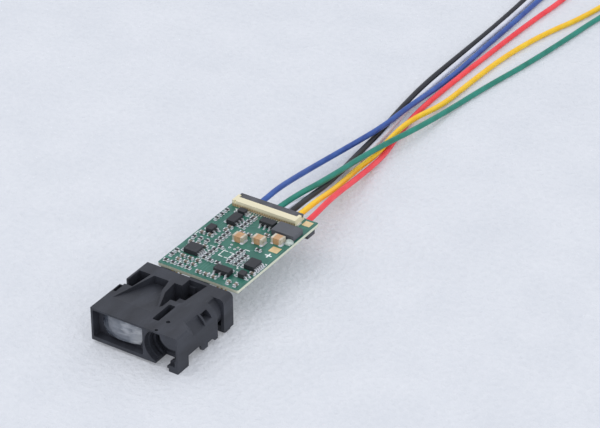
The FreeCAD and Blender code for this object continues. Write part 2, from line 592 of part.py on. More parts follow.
def deep_pocket():
    """The deep pocket between the light cone and the tube, with a rib left across it."""
    rib_x = window_right - RIB_FROM_WINDOW
    tongue_x = window_right - SKIN
    y_rear = holder_rear - SKIN
    step_x = diode_x + CONE_WALL_REAR + POCKET_STEP
    pocket = prism_z([
        (rib_x, front + RIB_START), (diode_x + CONE_WALL_BEND, front + POCKET_BEND),
        (diode_x + CONE_WALL_REAR, block_front), (step_x, block_front), (step_x, y_rear),
        (laser_x - HUMP_SIDE_REAR, y_rear), (laser_x - HUMP_SIDE_FRONT, front + POCKET_START),
        (tongue_x, front + POCKET_START), (tongue_x, front + RIB_START + SKIN),
    ], HOLDER_BOTTOM + SKIN, HOLDER_TOP + OVERRUN)
    y0 = front + CROSS_RIB_START
    rib = box(tongue_x, laser_x, y0, y0 + CROSS_RIB_THICK, 0, HOLDER_TOP - CROSS_RIB_DROP)
    return pocket.cut([on_laser_axis(tube_radius, front, holder_rear), rib])


def tube_slot():
    """Narrow round-ended slot beside the tube."""
    x0 = window_right + SEAT_GAP
    y0 = front + SLOT_START
    slot = soft_block(x0, x0 + SLOT_WIDTH, y0, y0 + SLOT_LENGTH, HOLDER_BOTTOM + SKIN, HOLDER_TOP + OVERRUN,
                      SLOT_ROUND)
    return slot.cut(on_laser_axis(tube_radius, front, holder_rear))


def hump_marks():
    """A soft sink, the glue window and two small moulding marks on the tube's side of the top."""
    sink = rod_y(right + SINK_OUT, HOLDER_TOP + SINK_UP, SINK_RADIUS, front + SINK_START,
                 front + SINK_START + SINK_LENGTH)
    y0 = front + GLUE_WINDOW_START
    glue = box(right - GLUE_WINDOW_WIDTH, right + OVERRUN, y0, y0 + GLUE_WINDOW_LENGTH,
               LASER_HEIGHT + GLUE_WINDOW_SILL, HOLDER_TOP - THIN_SKIN)
    marks = []
    for x, y, radius in ((laser_x - AIR_HOLE_LEFT, front + AIR_HOLE_START, AIR_HOLE_RADIUS),
                         (laser_x - PIN_MARK_LEFT, front + PIN_MARK_START, MARK_DEPTH)):
        marks.append(Part.makeCylinder(radius, OVERRUN, Vector(x, y, HOLDER_TOP - MARK_DEPTH)))
    return [sink, glue] + marks


def under_cone_cut():
    """The underside follows the light cone, so the moulding keeps an even wall."""
    y0 = front + WEDGE_START
    y1 = holder_rear - SKIN
    return prism_x([
        (y0, HOLDER_BOTTOM), (y1, HOLDER_BOTTOM + WEDGE_RISE), (y1, -OVERRUN), (y0, -OVERRUN),
    ], left + ROOF_SIDE, window_right)


def ledge():
    """The tongues behind the holder that the board is glued down on."""
    tongues = []
    for u0, u1 in LEDGE_SPANS:
        tongues.append(soft_block(board_left + u0, board_left + u1, holder_rear - LEDGE_ROOT,
                                  board_front + LEDGE_LENGTH, board_under - LEDGE_THICK, board_under,
                                  LEDGE_ROUND))
    return tongues


def feet():
    """Low feet under the holder, half a wall in from its sides."""
    inset = SKIN / 2
    x_left = left + inset
    x_right = right - inset - FOOT_SIZE
    y_rear = holder_rear - inset - FOOT_SIZE
    shapes = []
    for x, y in ((x_left, mouth_rear), (x_left, y_rear), (x_right, y_rear)):
        shapes.append(soft_block(x, x + FOOT_SIZE, y, y + FOOT_SIZE, 0, HOLDER_BOTTOM + SKIN, FOOT_ROUND))
    return shapes


def optics_holder():
    """The one-piece black moulding that carries both lenses, the laser diode and the board."""
    receiver = box(left, window_right + SKIN, front, holder_rear, HOLDER_BOTTOM, HOLDER_TOP)
    body = joined([receiver, laser_side().cut(under_laser_cut() + side_skirt_cut())])
    body = body.cut(receiver_window() + left_pockets())
    body = body.cut([under_cone_cut(), roof_cut(), deep_pocket(), tube_slot()])
    body = body.cut(laser_bore() + mouth_opening() + hump_marks())
    return joined([body] + feet() + ledge())


# ---- optics ----
def crowned_disc(x, z, radius, y_face, crown, y_back):
    """A lens blank along Y: flat back at y_back, rim at y_face and a crown towards the front."""
    ball_radius = (radius ** 2 + crown ** 2) / (2 * crown)
    ball = Part.makeSphere(ball_radius, Vector(x, y_face - crown + ball_radius, z))
    cap = ball.common(rod_y(x, z, radius, y_face - crown, y_face))
    return joined([cap, rod_y(x, z, radius, y_face, y_back)])


def receiving_lens():
    """The large plano-convex lens, cut flat above and below to fit the low window."""
    blank = crowned_disc(lens_x, lens_z, LENS_RADIUS, lens_front, LENS_CROWN, lens_rear)
    return blank.common(box(left, right, front, lens_rear, lens_low, lens_high))


def receiver_filter():
    """Square filter glass in front of the photodiode."""
    half = FILTER_SIZE / 2
    y0 = cone_rear + SEAT_GAP
    return box(diode_x - half, diode_x + half, y0, y0 + FILTER_THICK, cone_z - half, cone_z + half)


def collimator_barrel():
    """The threaded cell that screws in the holder's bore and carries the collimating lens."""
    parts = [on_laser_axis(THREAD_RADIUS - THREAD_DEPTH, barrel_front, barrel_rear)]
    for k in range(int(BARREL_LENGTH / THREAD_PITCH)):
        y = barrel_front + (k + 0.25) * THREAD_PITCH
        parts.append(on_laser_axis(THREAD_RADIUS, y, y + THREAD_PITCH / 2))
    body = joined(parts)
    pocket = on_laser_axis(GLASS_RADIUS + SEAT_GAP, barrel_front - OVERRUN, glass_face + GLASS_THICK)
    way = on_laser_axis(GLASS_RADIUS - GLASS_LIP, barrel_front, barrel_rear + OVERRUN)
    half = WRENCH_SLOT / 2
    slots = box(laser_x - THREAD_RADIUS, laser_x + THREAD_RADIUS, barrel_front, barrel_front + WRENCH_SLOT,
                LASER_HEIGHT - half, LASER_HEIGHT + half)
    return body.cut([pocket, way, slots])


def collimating_lens():
    """Small crowned glass lens inside the cell."""
    return crowned_disc(laser_x, LASER_HEIGHT, GLASS_RADIUS, glass_face, GLASS_CROWN, glass_face + GLASS_THICK)


def lens_retainer():
    """Ring pressed in front of the collimating lens."""
    outer = on_laser_axis(GLASS_RADIUS + SEAT_GAP, barrel_front, barrel_front + RETAINER_THICK)
    return outer.cut(on_laser_axis(GLASS_RADIUS - RETAINER_WIDTH, front, barrel_rear))


def laser_diode():
    """Metal can on a round flange, seated from the rear of the bore."""
    flange = on_laser_axis(DIODE_FLANGE_RADIUS, flange_front, flange_rear)
    can = on_laser_axis(DIODE_CAN_RADIUS, diode_cap, flange_front)
    return joined([flange, can]).cut(diode_window())


def diode_window():
    """Glass window in the diode's can."""
    return on_laser_axis(DIODE_WINDOW_RADIUS, diode_cap, diode_cap + DIODE_WINDOW_THICK)


def bent_leads(x0, z0, y0):
    """Three round leads that run back, turn up to the board's height and run on under the board."""
    y_mid = (y0 + board_front) / 2
    z1 = board_under - LEAD_RADIUS
    leads = []
    for x in (x0 - LEAD_CIRCLE, x0, x0 + LEAD_CIRCLE):
        points = [Vector(x, y0, z0), Vector(x, y_mid, z0), Vector(x, y_mid + LEAD_RISE_LENGTH, z1),
                  Vector(x, board_front + LEAD_REACH, z1)]
        leads.append(swept(tube_path(points, lambda i: LEAD_BEND), points, LEAD_RADIUS))
    return group(leads)


def corner_arc(a, b, c, radius):
    """Tangent points and middle point of an arc that rounds corner b."""
    to_a = (a - b).normalize()
    to_c = (c - b).normalize()
    half = to_a.getAngle(to_c) / 2
    reach = radius / math.tan(half)
    middle_way = (to_a + to_c).normalize()
    middle = b + middle_way * (radius / math.sin(half) - radius)
    return b + to_a * reach, middle, b + to_c * reach


def tube_path(points, radius_at):
    """Wire of straight runs joined by tangent arcs; radius_at gives the arc of each inner point."""
    edges = []
    at = points[0]
    for i in range(1, len(points) - 1):
        start, middle, end = corner_arc(points[i - 1], points[i], points[i + 1], radius_at(i))
        edges.append(Part.LineSegment(at, start).toShape())
        edges.append(Part.Arc(start, middle, end).toShape())
        at = end
    edges.append(Part.LineSegment(at, points[-1]).toShape())
    return Part.Wire(edges)


def swept(path, points, radius):
    """A round solid along the path."""
    along = (points[1] - points[0]).normalize()
    section = Part.Wire([Part.makeCircle(radius, points[0], along)])
    return path.makePipeShell([section], True, False)


# ---- circuit board ----
def on_board(u, v):
    """A place on the board, from its place on the layout grid."""
    grid_u, grid_v = LAYOUT_GRID
    return (board_left + u * (board_right - board_left) / grid_u,
            board_front + v * (fpc_front - board_front) / grid_v)


def main_board():
    """Thin glass-fibre board with slightly rounded corners."""
    return soft_block(board_left, board_right, board_front, board_rear, board_under, BOARD_TOP, BOARD_CORNER)


def board_adhesive():
    """Two beads of adhesive in the corners between the ledge and the board."""
    y0 = board_front + GLUE_BEAD
    y1 = board_front + LEDGE_LENGTH - GLUE_BEAD
    beads = []
    for u, way in ((LEDGE_SPANS[0][0], -1), (LEDGE_SPANS[-1][1], 1)):
        x = board_left + u
        corner = [(x, board_under), (x + way * GLUE_BEAD, board_under), (x, board_under - GLUE_BEAD)]
        beads.append(prism_y(corner, y0, y1))
    return group(beads)


def package(x, y, size_x, size_y, z0, height):
    """Moulded package with slightly drawn-in upright edges, centred on x and y."""
    return soft_block(x - size_x / 2, x + size_x / 2, y - size_y / 2, y + size_y / 2, z0, z0 + height,
                      CHIP_ROUND)


def chip_body(u, v, size_u, size_v, height):
    """A package on the top of the board."""
    return package(*on_board(u, v), size_u, size_v, BOARD_TOP + CHIP_GAP, height)


def processor():
    """The large square package under the board."""
    return package(*on_board(*PROCESSOR_PLACE), PROCESSOR_SIZE, PROCESSOR_SIZE,
                   board_under - CHIP_GAP - PROCESSOR_HEIGHT, PROCESSOR_HEIGHT)


def bias_coil():
    """The coil under the board's rear right corner, beside the wires' pads."""
    size_x, size_y, height = COIL_SIZE
    x = max(x for x, way in WIRES.values()) + PAD_HALF_WIDTH + COIL_GAP + size_x / 2
    y = board_rear - COIL_FROM_REAR - size_y / 2
    return package(x, y, size_x, size_y, board_under - CHIP_GAP - height, height)


def gull_lead(x, y, way_x, way_y, height):
    """One bent lead: it leaves the package at half its height and lands flat on its pad."""
    z_exit = BOARD_TOP + CHIP_GAP + height / 2
    z_foot = BOARD_TOP + LEAD_THICK
    shoulder = LEAD_OUT * 0.45
    side = [
        (0, z_exit), (shoulder, z_exit), (shoulder + LEAD_THICK, z_foot), (LEAD_OUT, z_foot),
        (LEAD_OUT, BOARD_TOP), (shoulder, BOARD_TOP), (shoulder - LEAD_THICK, z_exit - LEAD_THICK),
        (0, z_exit - LEAD_THICK),
    ]
    across_x = abs(way_y) * LEAD_WIDTH / 2
    across_y = abs(way_x) * LEAD_WIDTH / 2
    ring = [(x - across_x + way_x * s, y - across_y + way_y * s, z) for s, z in side]
    return Part.Face(outline(ring)).extrude(Vector(2 * across_x, 2 * across_y, 0))


def lead_row(u, v, size_u, size_v, height, side, count, pitch):
    """Leads along one side of a package: side is left, right, front or rear."""
    x, y = on_board(u, v)
    way_x, way_y = {"left": (-1, 0), "right": (1, 0), "front": (0, -1), "rear": (0, 1)}[side]
    leads = []
    for k in range(count):
        shift = (k - (count - 1) / 2) * pitch
        px = x + way_x * size_u / 2 + abs(way_y) * shift
        py = y + way_y * size_v / 2 + abs(way_x) * shift
        leads.append(gull_lead(px, py, way_x, way_y, height))
    return leads


def chip_leads():
    """All the bent leads of the chips on the top of the board."""
    leads = []
    for u, v, size_u, size_v, height, rows in CHIPS.values():
        for side, count, pitch in rows:
            leads += lead_row(u, v, size_u, size_v, height, side, count, pitch)
    return group(leads)


# ---- chip resistors and capacitors ----
def chip_part(u, v, size, end_cap, turned, below=False):
    """One chip part lying on the board: its body between two metal end caps."""
    length, width, height = size
    x, y = on_board(u, v)
    z = board_under - height - SOLDER_GAP if below else BOARD_TOP + SOLDER_GAP
    marks = [-length / 2, -length / 2 + end_cap, length / 2 - end_cap, length / 2]
    pieces = []
    for a, b in zip(marks, marks[1:]):
        if turned:
            pieces.append(box(x - width / 2, x + width / 2, y + a, y + b, z, z + height))
        else:
            pieces.append(box(x + a, x + b, y - width / 2, y + width / 2, z, z + height))
    return pieces[1], [pieces[0], pieces[2]]


def part_rows(rows, below=False):
    """Bodies and end caps of every part in the rows."""
    bodies, ends = [], []
    for u, v, step_u, step_v, count, turned in rows:
        for k in range(count):
            body, caps = chip_part(u + k * step_u, v + k * step_v, SMALL_PART, END_CAP, turned, below)
            bodies.append(body)
            ends += caps
    return bodies, ends


def tan_parts():
    """Bodies and end caps of the large tan capacitors."""
    bodies, ends = [], []
    for u, v in TAN_PLACES:
        body, caps = chip_part(u, v, TAN_PART, TAN_END_CAP, False)
        bodies.append(body)
        ends += caps
    return bodies, ends


# ---- flat-cable connector ----
def fpc_contacts():
    """Row of stamped contacts: a tail on the board, a riser and a beam along the slot's floor."""
    y_tail = fpc_front - CONTACT_TAIL
    y_riser = fpc_front + CONTACT_INSET
    y_end = fpc_rear - CONTACT_SHORT
    contacts = []
    for k in range(FPC_PINS):
        x = fpc_left + FPC_END + k * FPC_PITCH
        contacts.append(prism_x([
            (y_tail, BOARD_TOP), (y_riser, BOARD_TOP), (y_riser, fpc_slot_low), (y_end, fpc_slot_low),
            (y_end, fpc_slot_low + CONTACT_THICK), (y_riser - CONTACT_THICK, fpc_slot_low + CONTACT_THICK),
            (y_riser - CONTACT_THICK, BOARD_TOP + CONTACT_THICK), (y_tail, BOARD_TOP + CONTACT_THICK),
        ], x - CONTACT_WIDTH / 2, x + CONTACT_WIDTH / 2))
    return group(contacts)


def fpc_housing():
    """Cream housing: closed head, floor and two cheeks that hold the flap's pins."""
    body = box(fpc_left, fpc_right, fpc_front, fpc_rear, BOARD_TOP, fpc_top)
    x0 = fpc_left + FPC_CHEEK
    x1 = fpc_right - FPC_CHEEK
    mouth = box(x0, x1, fpc_head_rear, fpc_rear + OVERRUN, fpc_slot_low, fpc_top + OVERRUN)
    slot = box(x0, x1, fpc_front + FPC_FRONT_WALL, fpc_rear, fpc_slot_low, fpc_slot_high)
    pin_room = FLAP_PIN_LENGTH + FLAP_GAP
    pins = Part.makeCylinder(FLAP_PIN_RADIUS + FLAP_PIN_CLEARANCE, x1 - x0 + 2 * pin_room,
                             Vector(x0 - pin_room, flap_pivot_y, flap_pivot_z), Vector(1, 0, 0))
    mark = box(fpc_left + FPC_MARK, fpc_left + 2 * FPC_MARK, fpc_front, fpc_front + FPC_MARK / 2,
               fpc_top - FPC_MARK, fpc_top)
    wings = box(fpc_left - OVERRUN, fpc_right + OVERRUN, flap_pivot_y + FPC_CHEEK_REACH, fpc_rear + OVERRUN,
                fpc_slot_high - FLAP_GAP, fpc_top + OVERRUN)
    return body.cut([mouth, slot, pins, mark, wings, fpc_contacts()])


def fpc_flap():
    """Dark flap that turns up on two end pins to free the flat cable."""
    half = FLAP_HEIGHT / 2
    x0 = fpc_left + FPC_CHEEK + FLAP_GAP
    x1 = fpc_right - FPC_CHEEK - FLAP_GAP
    y_edge = fpc_rear - FLAP_GAP
    barrel = Part.makeCylinder(half, x1 - x0, Vector(x0, flap_pivot_y, flap_pivot_z), Vector(1, 0, 0))
    plate = [prism_x([
        (y, flap_pivot_z - half), (y_edge - FLAP_EDGE, flap_pivot_z - half), (y_edge, flap_pivot_z),
        (y_edge, flap_pivot_z + half), (y, flap_pivot_z + half),
    ], xa, xb) for y, xa, xb in (
        (flap_pivot_y, x0, x1),
        (flap_pivot_y + FLAP_WING_START, fpc_left + FLAP_WING_INSET, fpc_right - FLAP_WING_INSET))]
    pin = Part.makeCylinder(FLAP_PIN_RADIUS, x1 - x0 + 2 * FLAP_PIN_LENGTH,
                            Vector(x0 - FLAP_PIN_LENGTH, flap_pivot_y, flap_pivot_z), Vector(1, 0, 0))
    return joined([*plate, barrel, pin])


def fpc_hold_downs():
    """Solder tabs at the connector's ends."""
    y0 = fpc_front + TAB_START
    tabs = []
    for x0, x1 in ((fpc_left - TAB_REACH, fpc_left), (fpc_right, fpc_right + TAB_REACH)):
        tabs.append(box(x0, x1, y0, y0 + TAB_LENGTH, BOARD_TOP, BOARD_TOP + TAB_THICK))
    return group(tabs)


# ---- wires ----
def wire_points(name):
    """The route of one wire, from its end under the board to its far end."""
    x0, way = WIRES[name]
    points = [Vector(x0, wire_start, wire_z)]
    for x, behind, z in way:
        points.append(Vector(x, board_rear + behind, z))
    return points


def bend_radius(points, i):
    """The largest arc at point i: 0.45 of the shorter run, divided by the tangent of half the turn."""
    before = points[i] - points[i - 1]
    after = points[i + 1] - points[i]
    return 0.45 * min(before.Length, after.Length) / math.tan(before.getAngle(after) / 2)


def wire(name):
    """Insulation of one wire; prints its bend radii and compares its volume with its length."""
    points = wire_points(name)
    path = tube_path(points, lambda i: bend_radius(points, i))
    solid = swept(path, points, WIRE_RADIUS)
    radii = [round(bend_radius(points, i), 1) for i in range(1, len(points) - 1)]
    share = solid.Volume / (math.pi * WIRE_RADIUS ** 2 * path.Length)
    print(name, "wire: length", round(path.Length, 1), "radii", radii, "volume share", round(share, 4))
    return solid


def wire_end(name):
    """Stripped and tinned far end of one wire."""
    points = wire_points(name)
    along = (points[-1] - points[-2]).normalize()
    return Part.makeCylinder(CORE_RADIUS, CORE_LENGTH, points[-1], along)


def stripped_core(name, length):
    """Bare wire that runs forward from the insulation's end under the board."""
    start, second = wire_points(name)[:2]
    return Part.makeCylinder(CORE_RADIUS, length, start, (start - second).normalize())


def wire_pads():
    """Tinned pads under the rear edge of the board."""
    pads = []
    for x, way in WIRES.values():
        pads.append(box(x - PAD_HALF_WIDTH, x + PAD_HALF_WIDTH, core_front - PAD_MARGIN,
                        wire_start + PAD_MARGIN, board_under - PAD_THICK, board_under))
    return group(pads)


def wire_solder():
    """A heap of solder from each pad round the bare end of its wire."""
    top = board_under - PAD_THICK
    low = wire_z - CORE_RADIUS - SOLDER_SKIN
    heaps = []
    for name, (x, way) in WIRES.items():
        heap = Part.makeCone(PAD_HALF_WIDTH - SOLDER_SKIN, CORE_RADIUS + SOLDER_SKIN, top - low,
                             Vector(x, (core_front + wire_start) / 2, top), Vector(0, 0, -1))
        heaps.append(heap.cut(stripped_core(name, CORE_UNDER_BOARD)))
    return group(heaps)


# ---- pads, vias and parts under the board ----
def flat_plate(u, v, size_u, size_v):
    """A thin plated area on the top of the board."""
    x, y = on_board(u, v)
    return box(x - size_u / 2, x + size_u / 2, y - size_v / 2, y + size_v / 2, BOARD_TOP, BOARD_TOP + PAD_THICK)


def test_pads():
    """Two large bare pads near the right edge and a plus mark beside the upper one."""
    plus = joined([flat_plate(*PLUS_PLACE, PLUS_SIZE, PLUS_BAR), flat_plate(*PLUS_PLACE, PLUS_BAR, PLUS_SIZE)])
    return group([flat_plate(*pad) for pad in TEST_PADS] + [plus])


def via_rings():
    """Plated via rings in the middle of the board."""
    rings = []
    for u, v in VIA_PLACES:
        centre = Vector(*on_board(u, v), BOARD_TOP)
        rings.append(Part.makeCylinder(VIA_RADIUS, PAD_THICK, centre).cut(
            Part.makeCylinder(VIA_HOLE, PAD_THICK, centre)))
    return group(rings)


def processor_pads():
    """Contact pads round the edge of the processor's underside."""
    x, y = on_board(*PROCESSOR_PLACE)
    half = PROCESSOR_SIZE / 2
    deep, wide = PROCESSOR_PAD
    pads = []
    for k in range(PROCESSOR_PADS):
        shift = (k - (PROCESSOR_PADS - 1) / 2) * PROCESSOR_PITCH
        for side in (-half, half):
            for cx, cy, wx, wy in ((x + shift, y + side, wide, deep), (x + side, y + shift, deep, wide)):
                pads.append(box(cx - wx / 2, cx + wx / 2, cy - wy / 2, cy + wy / 2,
                                board_under - CHIP_GAP, board_under))
    return group(pads)


def save(name, shape):
    """Writes one node."""
    if not shape.isValid():
        print("INVALID", name)
    shape.exportStep(os.path.join("parts", name + ".step"))


os.makedirs("parts", exist_ok=True)
save("optics_holder", optics_holder())
save("receiving_lens", receiving_lens())
save("receiver_filter", receiver_filter())
save("receiver_photodiode", rod_y(diode_x, cone_z, PHOTODIODE_RADIUS, can_front, can_rear))
save("photodiode_leads", bent_leads(diode_x, cone_z, can_rear))
save("laser_diode", laser_diode())
save("diode_window", diode_window())
save("laser_diode_leads", bent_leads(laser_x, LASER_HEIGHT, flange_rear))
save("collimator_barrel", collimator_barrel())
save("collimating_lens", collimating_lens())
save("lens_retainer", lens_retainer())
save("main_board", main_board())
save("board_adhesive", board_adhesive())
for chip, (u, v, size_u, size_v, height, rows) in CHIPS.items():
    save(chip, chip_body(u, v, size_u, size_v, height))
save("chip_leads", chip_leads())
save("power_inductor", chip_body(*INDUCTOR))
tan_bodies, tan_ends = tan_parts()
save("tan_capacitors", group(tan_bodies))
save("tan_capacitor_ends", group(tan_ends))
resistor_bodies, resistor_ends = part_rows(RESISTOR_ROWS)
capacitor_bodies, capacitor_ends = part_rows(CAPACITOR_ROWS)
under_bodies, under_ends = part_rows(UNDER_ROWS, True)
save("chip_resistors", group(resistor_bodies))
save("chip_capacitors", group(capacitor_bodies))
save("underside_capacitors", group(under_bodies))
save("chip_part_ends", group(resistor_ends + capacitor_ends))
save("underside_part_ends", group(under_ends))
save("test_pads", test_pads())
save("via_rings", via_rings())
save("processor", processor())
save("processor_pads", processor_pads())
save("bias_coil", bias_coil())
save("fpc_housing", fpc_housing())
save("fpc_contacts", fpc_contacts())
save("fpc_hold_downs", fpc_hold_downs())
save("fpc_flap", fpc_flap())
for name in WIRES:
    save(name + "_wire", wire(name))
    save(name + "_wire_end", wire_end(name))
save("stripped_cores", group([stripped_core(name, CORE_UNDER_BOARD - WIRE_UNDER_BOARD) for name in WIRES]))
save("wire_pads", wire_pads())
save("wire_solder", wire_solder())
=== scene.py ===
"""Fixed-beam laser ranging module with six flying leads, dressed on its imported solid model.

Metres throughout. The lenses look along -Y, the board runs back along +Y, the feet stand on z = 0.
"""

from math import pi, radians

import bpy
import numpy as np
from mathutils import Matrix, Vector


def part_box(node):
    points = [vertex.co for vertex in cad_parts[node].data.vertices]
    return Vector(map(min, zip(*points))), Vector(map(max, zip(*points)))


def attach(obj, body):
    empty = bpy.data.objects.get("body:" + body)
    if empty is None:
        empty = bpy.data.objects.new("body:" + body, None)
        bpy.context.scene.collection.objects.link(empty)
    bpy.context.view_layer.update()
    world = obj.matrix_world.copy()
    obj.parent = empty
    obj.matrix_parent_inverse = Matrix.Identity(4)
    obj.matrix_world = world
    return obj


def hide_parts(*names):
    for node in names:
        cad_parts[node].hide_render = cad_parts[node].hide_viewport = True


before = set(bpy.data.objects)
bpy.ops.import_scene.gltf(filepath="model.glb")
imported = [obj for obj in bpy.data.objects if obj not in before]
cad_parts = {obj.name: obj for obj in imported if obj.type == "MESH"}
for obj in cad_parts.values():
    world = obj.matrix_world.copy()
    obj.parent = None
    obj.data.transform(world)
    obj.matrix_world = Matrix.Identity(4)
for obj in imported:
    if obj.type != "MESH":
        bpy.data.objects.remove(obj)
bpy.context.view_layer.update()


# ---- optics holder ----
# The chassis of the module, injection moulded in one shot of matt black glass-filled nylon.
# It carries the receiver's frame and funnel on the left and the laser's tube on the right.
class Signal:
    """One socket of a material's nodes. Maths on signals and numbers adds Math nodes to the material."""

    def __init__(self, tree, socket):
        self.tree, self.socket = tree, socket

    def node(self, kind, settings, sockets, output=0):
        """Adds a node: its settings come first, then the value or link of each socket. Gives one output."""
        made = self.tree.nodes.new("ShaderNode" + kind)
        for name, value in settings.items():
            setattr(made, name, value)
        for name, value in sockets.items():
            if isinstance(value, Signal):
                self.tree.links.new(value.socket, made.inputs[name])
            else:
                made.inputs[name].default_value = value
        return Signal(self.tree, made.outputs[output] if made.outputs else None)

    def maths(self, operation, first, second):
        return self.node("Math", {"operation": operation}, {0: first, 1: second})

    def __add__(self, other):
        return self.maths("ADD", self, other)

    def __sub__(self, other):
        return self.maths("SUBTRACT", self, other)

    def __rsub__(self, other):
        return self.maths("SUBTRACT", other, self)

    def __mul__(self, other):
        return self.maths("MULTIPLY", self, other)

    def __lt__(self, other):
        return self.maths("LESS_THAN", self, other)

    def __gt__(self, other):
        return self.maths("GREATER_THAN", self, other)

    def __abs__(self):
        return self.maths("ABSOLUTE", self, 0.0)

    __radd__ = __add__
    __rmul__ = __mul__

    def noise(self, spot, detail=3.0):
        """Soft random values between 0 and 1 in spots of that size."""
        return self.node("TexNoise", {}, {"Vector": self, "Scale": 1 / spot, "Detail": detail})

    def step(self, low, high):
        """0 below low, 1 above high, and straight in between."""
        return self.node("MapRange", {}, {"Value": self, "From Min": low, "From Max": high})

    def mix(self, first, second):
        """The first colour where the signal is 0, the second where it is 1."""
        return self.node("Mix", {"data_type": "RGBA"}, {0: self, 6: first, 7: second}, 2)

    def axis(self, name):
        """One coordinate of a place: X, Y or Z."""
        return self.node("SeparateXYZ", {}, {0: self}, "XYZ".index(name))

    def distance(self, point):
        """How far a place is from that point."""
        return self.node("VectorMath", {"operation": "DISTANCE"}, {0: self, 1: point}, "Value")

    def stretched(self, x, y, z):
        """The place with each coordinate multiplied, so that a pattern on it is squeezed along that axis."""
        return self.node("Mapping", {}, {"Vector": self, "Scale": (x, y, z)})


def shade(red, green, blue):
    """A colour given as 0 to 255 on a screen, as the light values that a shader takes."""
    return tuple(((c / 255 + 0.055) / 1.055) ** 2.4 for c in (red, green, blue)) + (1.0,)


def new_material(name):
    """An empty material, and the place on the surface as a signal in its nodes."""
    material = bpy.data.materials.new(name)
    material.use_nodes = True
    material.node_tree.nodes.clear()
    return material, Signal(material.node_tree, None).node("TexCoord", {}, {}, "Object")


def complete(place, colour, roughness, height, depth, **constants):
    """Ends a material: colour, roughness, a height map of that depth in metres, and what is alike all over."""
    bump = place.node("Bump", {}, {"Distance": depth, "Height": height})
    sockets = {"Base Color": colour, "Roughness": roughness, "Normal": bump}
    sockets.update((name.replace("_", " "), value) for name, value in constants.items())
    place.node("OutputMaterial", {}, {"Surface": place.node("BsdfPrincipled", {}, sockets)})


def mottled(name, dark, light, spot, rough, grain, depth, **constants):
    """A finish of two close shades in soft spots, with a finer grain in its roughness and its relief."""
    material, place = new_material(name)
    patches, specks = place.noise(spot), place.noise(grain, 2.0)
    complete(place, patches.step(0.3, 0.7).mix(dark, light), specks * (rough[1] - rough[0]) + rough[0],
             specks, depth, **constants)
    return material


def dress(material, *names):
    """Gives CAD nodes that material in each of their slots."""
    for name in names:
        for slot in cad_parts[name].material_slots:
            slot.material = material


holder_plastic, place = new_material("holder_plastic")
flow = place.stretched(1.0, 0.35, 1.0).noise(0.0025)
texture = place.noise(0.00016, 2.0)
scuffs = place.stretched(1.0, 0.12, 0.6).noise(0.0004, 4.0).step(0.62, 0.7)
complete(
    place,
    (flow.step(0.3, 0.7) * 0.75 + scuffs * 0.25).mix(shade(37, 39, 46), shade(57, 60, 69)),
    0.5 + texture * 0.16 - scuffs * 0.08,
    texture + flow * 0.8, 0.000012,
)
dress(holder_plastic, "optics_holder")


# ---- receiving lens ----
# A plano-convex lens with its top and bottom cut flat, moulded in clear acrylic and glued into the frame.
# It is a little milky. Painted light: a lighter right side, painted glints and a painted reflection low right.
lens_acrylic, place = new_material("lens_acrylic")
low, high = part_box("receiving_lens")
REFLECTION_SPOT = (high[0], 0.0, low[2] + 0.0009)        # centre of a painted reflection at the lens's lower right corner
REFLECTION_REACH = 0.0024                                 # how far the painted reflection spreads
# painted light: the lens's colour runs from dark at its left to light at its right
painted_lit_side = place.axis("X").step(low[0] + 0.0008, high[0])
# milky tone in soft patches, with the painted lighter right side mixed in
milkiness_and_lit_side = painted_lit_side * 0.6 + place.stretched(0.7, 1.0, 1.5).noise(0.0019, 2.0).step(0.35, 0.7) * 0.4
# painted reflection: a bright patch round the lens's lower right corner
painted_reflection = place.stretched(1.0, 0.0, 1.0).distance(REFLECTION_SPOT).step(REFLECTION_REACH, 0.0005)
# painted glints: bright streaks, most of them on the right side, together with the painted reflection
painted_glints = place.stretched(0.6, 1.0, 1.5).noise(0.0017, 3.0).step(0.52, 0.72) * painted_lit_side * 0.8 + painted_reflection * 0.6
dust = place.noise(0.0003, 4.0).step(0.6, 0.8)
# the milky colour with its painted lit side, painted glints and painted reflection mixed towards white
milk_and_painted_light = painted_glints.mix(milkiness_and_lit_side.mix(shade(74, 80, 92), shade(176, 182, 193)), shade(248, 250, 253))
complete(place, milk_and_painted_light, milkiness_and_lit_side * 0.08 + dust * 0.1 + 0.08,
         dust, 0.000002, IOR=1.49, Transmission_Weight=0.35, Specular_IOR_Level=0.9)
dress(lens_acrylic, "receiving_lens")

# ---- receiver ----
# Behind the funnel stand a deep red band-pass filter and a photodiode in a nickel-plated can.
# Its gold-plated pins run back and up into the front edge of the board.
filter_glass = mottled("filter_glass", shade(60, 6, 16), shade(88, 12, 24), 0.0012, (0.04, 0.1), 0.0004,
                       0.000002, Coat_Weight=1.0, Coat_Roughness=0.03)
dress(filter_glass, "receiver_filter")
nickel_can = mottled("nickel_can", shade(168, 166, 160), shade(196, 194, 188), 0.0015, (0.22, 0.36), 0.00025,
                     0.000004, Metallic=1.0)
dress(nickel_can, "receiver_photodiode")
gold_pins = mottled("gold_pins", shade(196, 158, 92), shade(224, 190, 120), 0.0010, (0.2, 0.34), 0.0002,
                    0.000003, Metallic=1.0)
dress(gold_pins, "photodiode_leads", "laser_diode_leads")

# ---- laser ----
# A 5.6 mm brass-capped diode is pressed into the rear of the tube, with a glass window in its cap.
dress(mottled("diode_brass", shade(178, 146, 88), shade(208, 178, 116), 0.0016, (0.2, 0.35), 0.0003, 0.000004,
              Metallic=1.0), "laser_diode")
clear_glass, place = new_material("clear_glass")
wipe = place.stretched(1.0, 1.0, 0.3).noise(0.0008, 4.0)
complete(place, wipe.mix(shade(214, 222, 232), shade(236, 240, 244)), wipe * 0.08 + 0.03, wipe, 0.000001,
         IOR=1.52, Transmission_Weight=0.8)
dress(clear_glass, "diode_window", "collimating_lens")

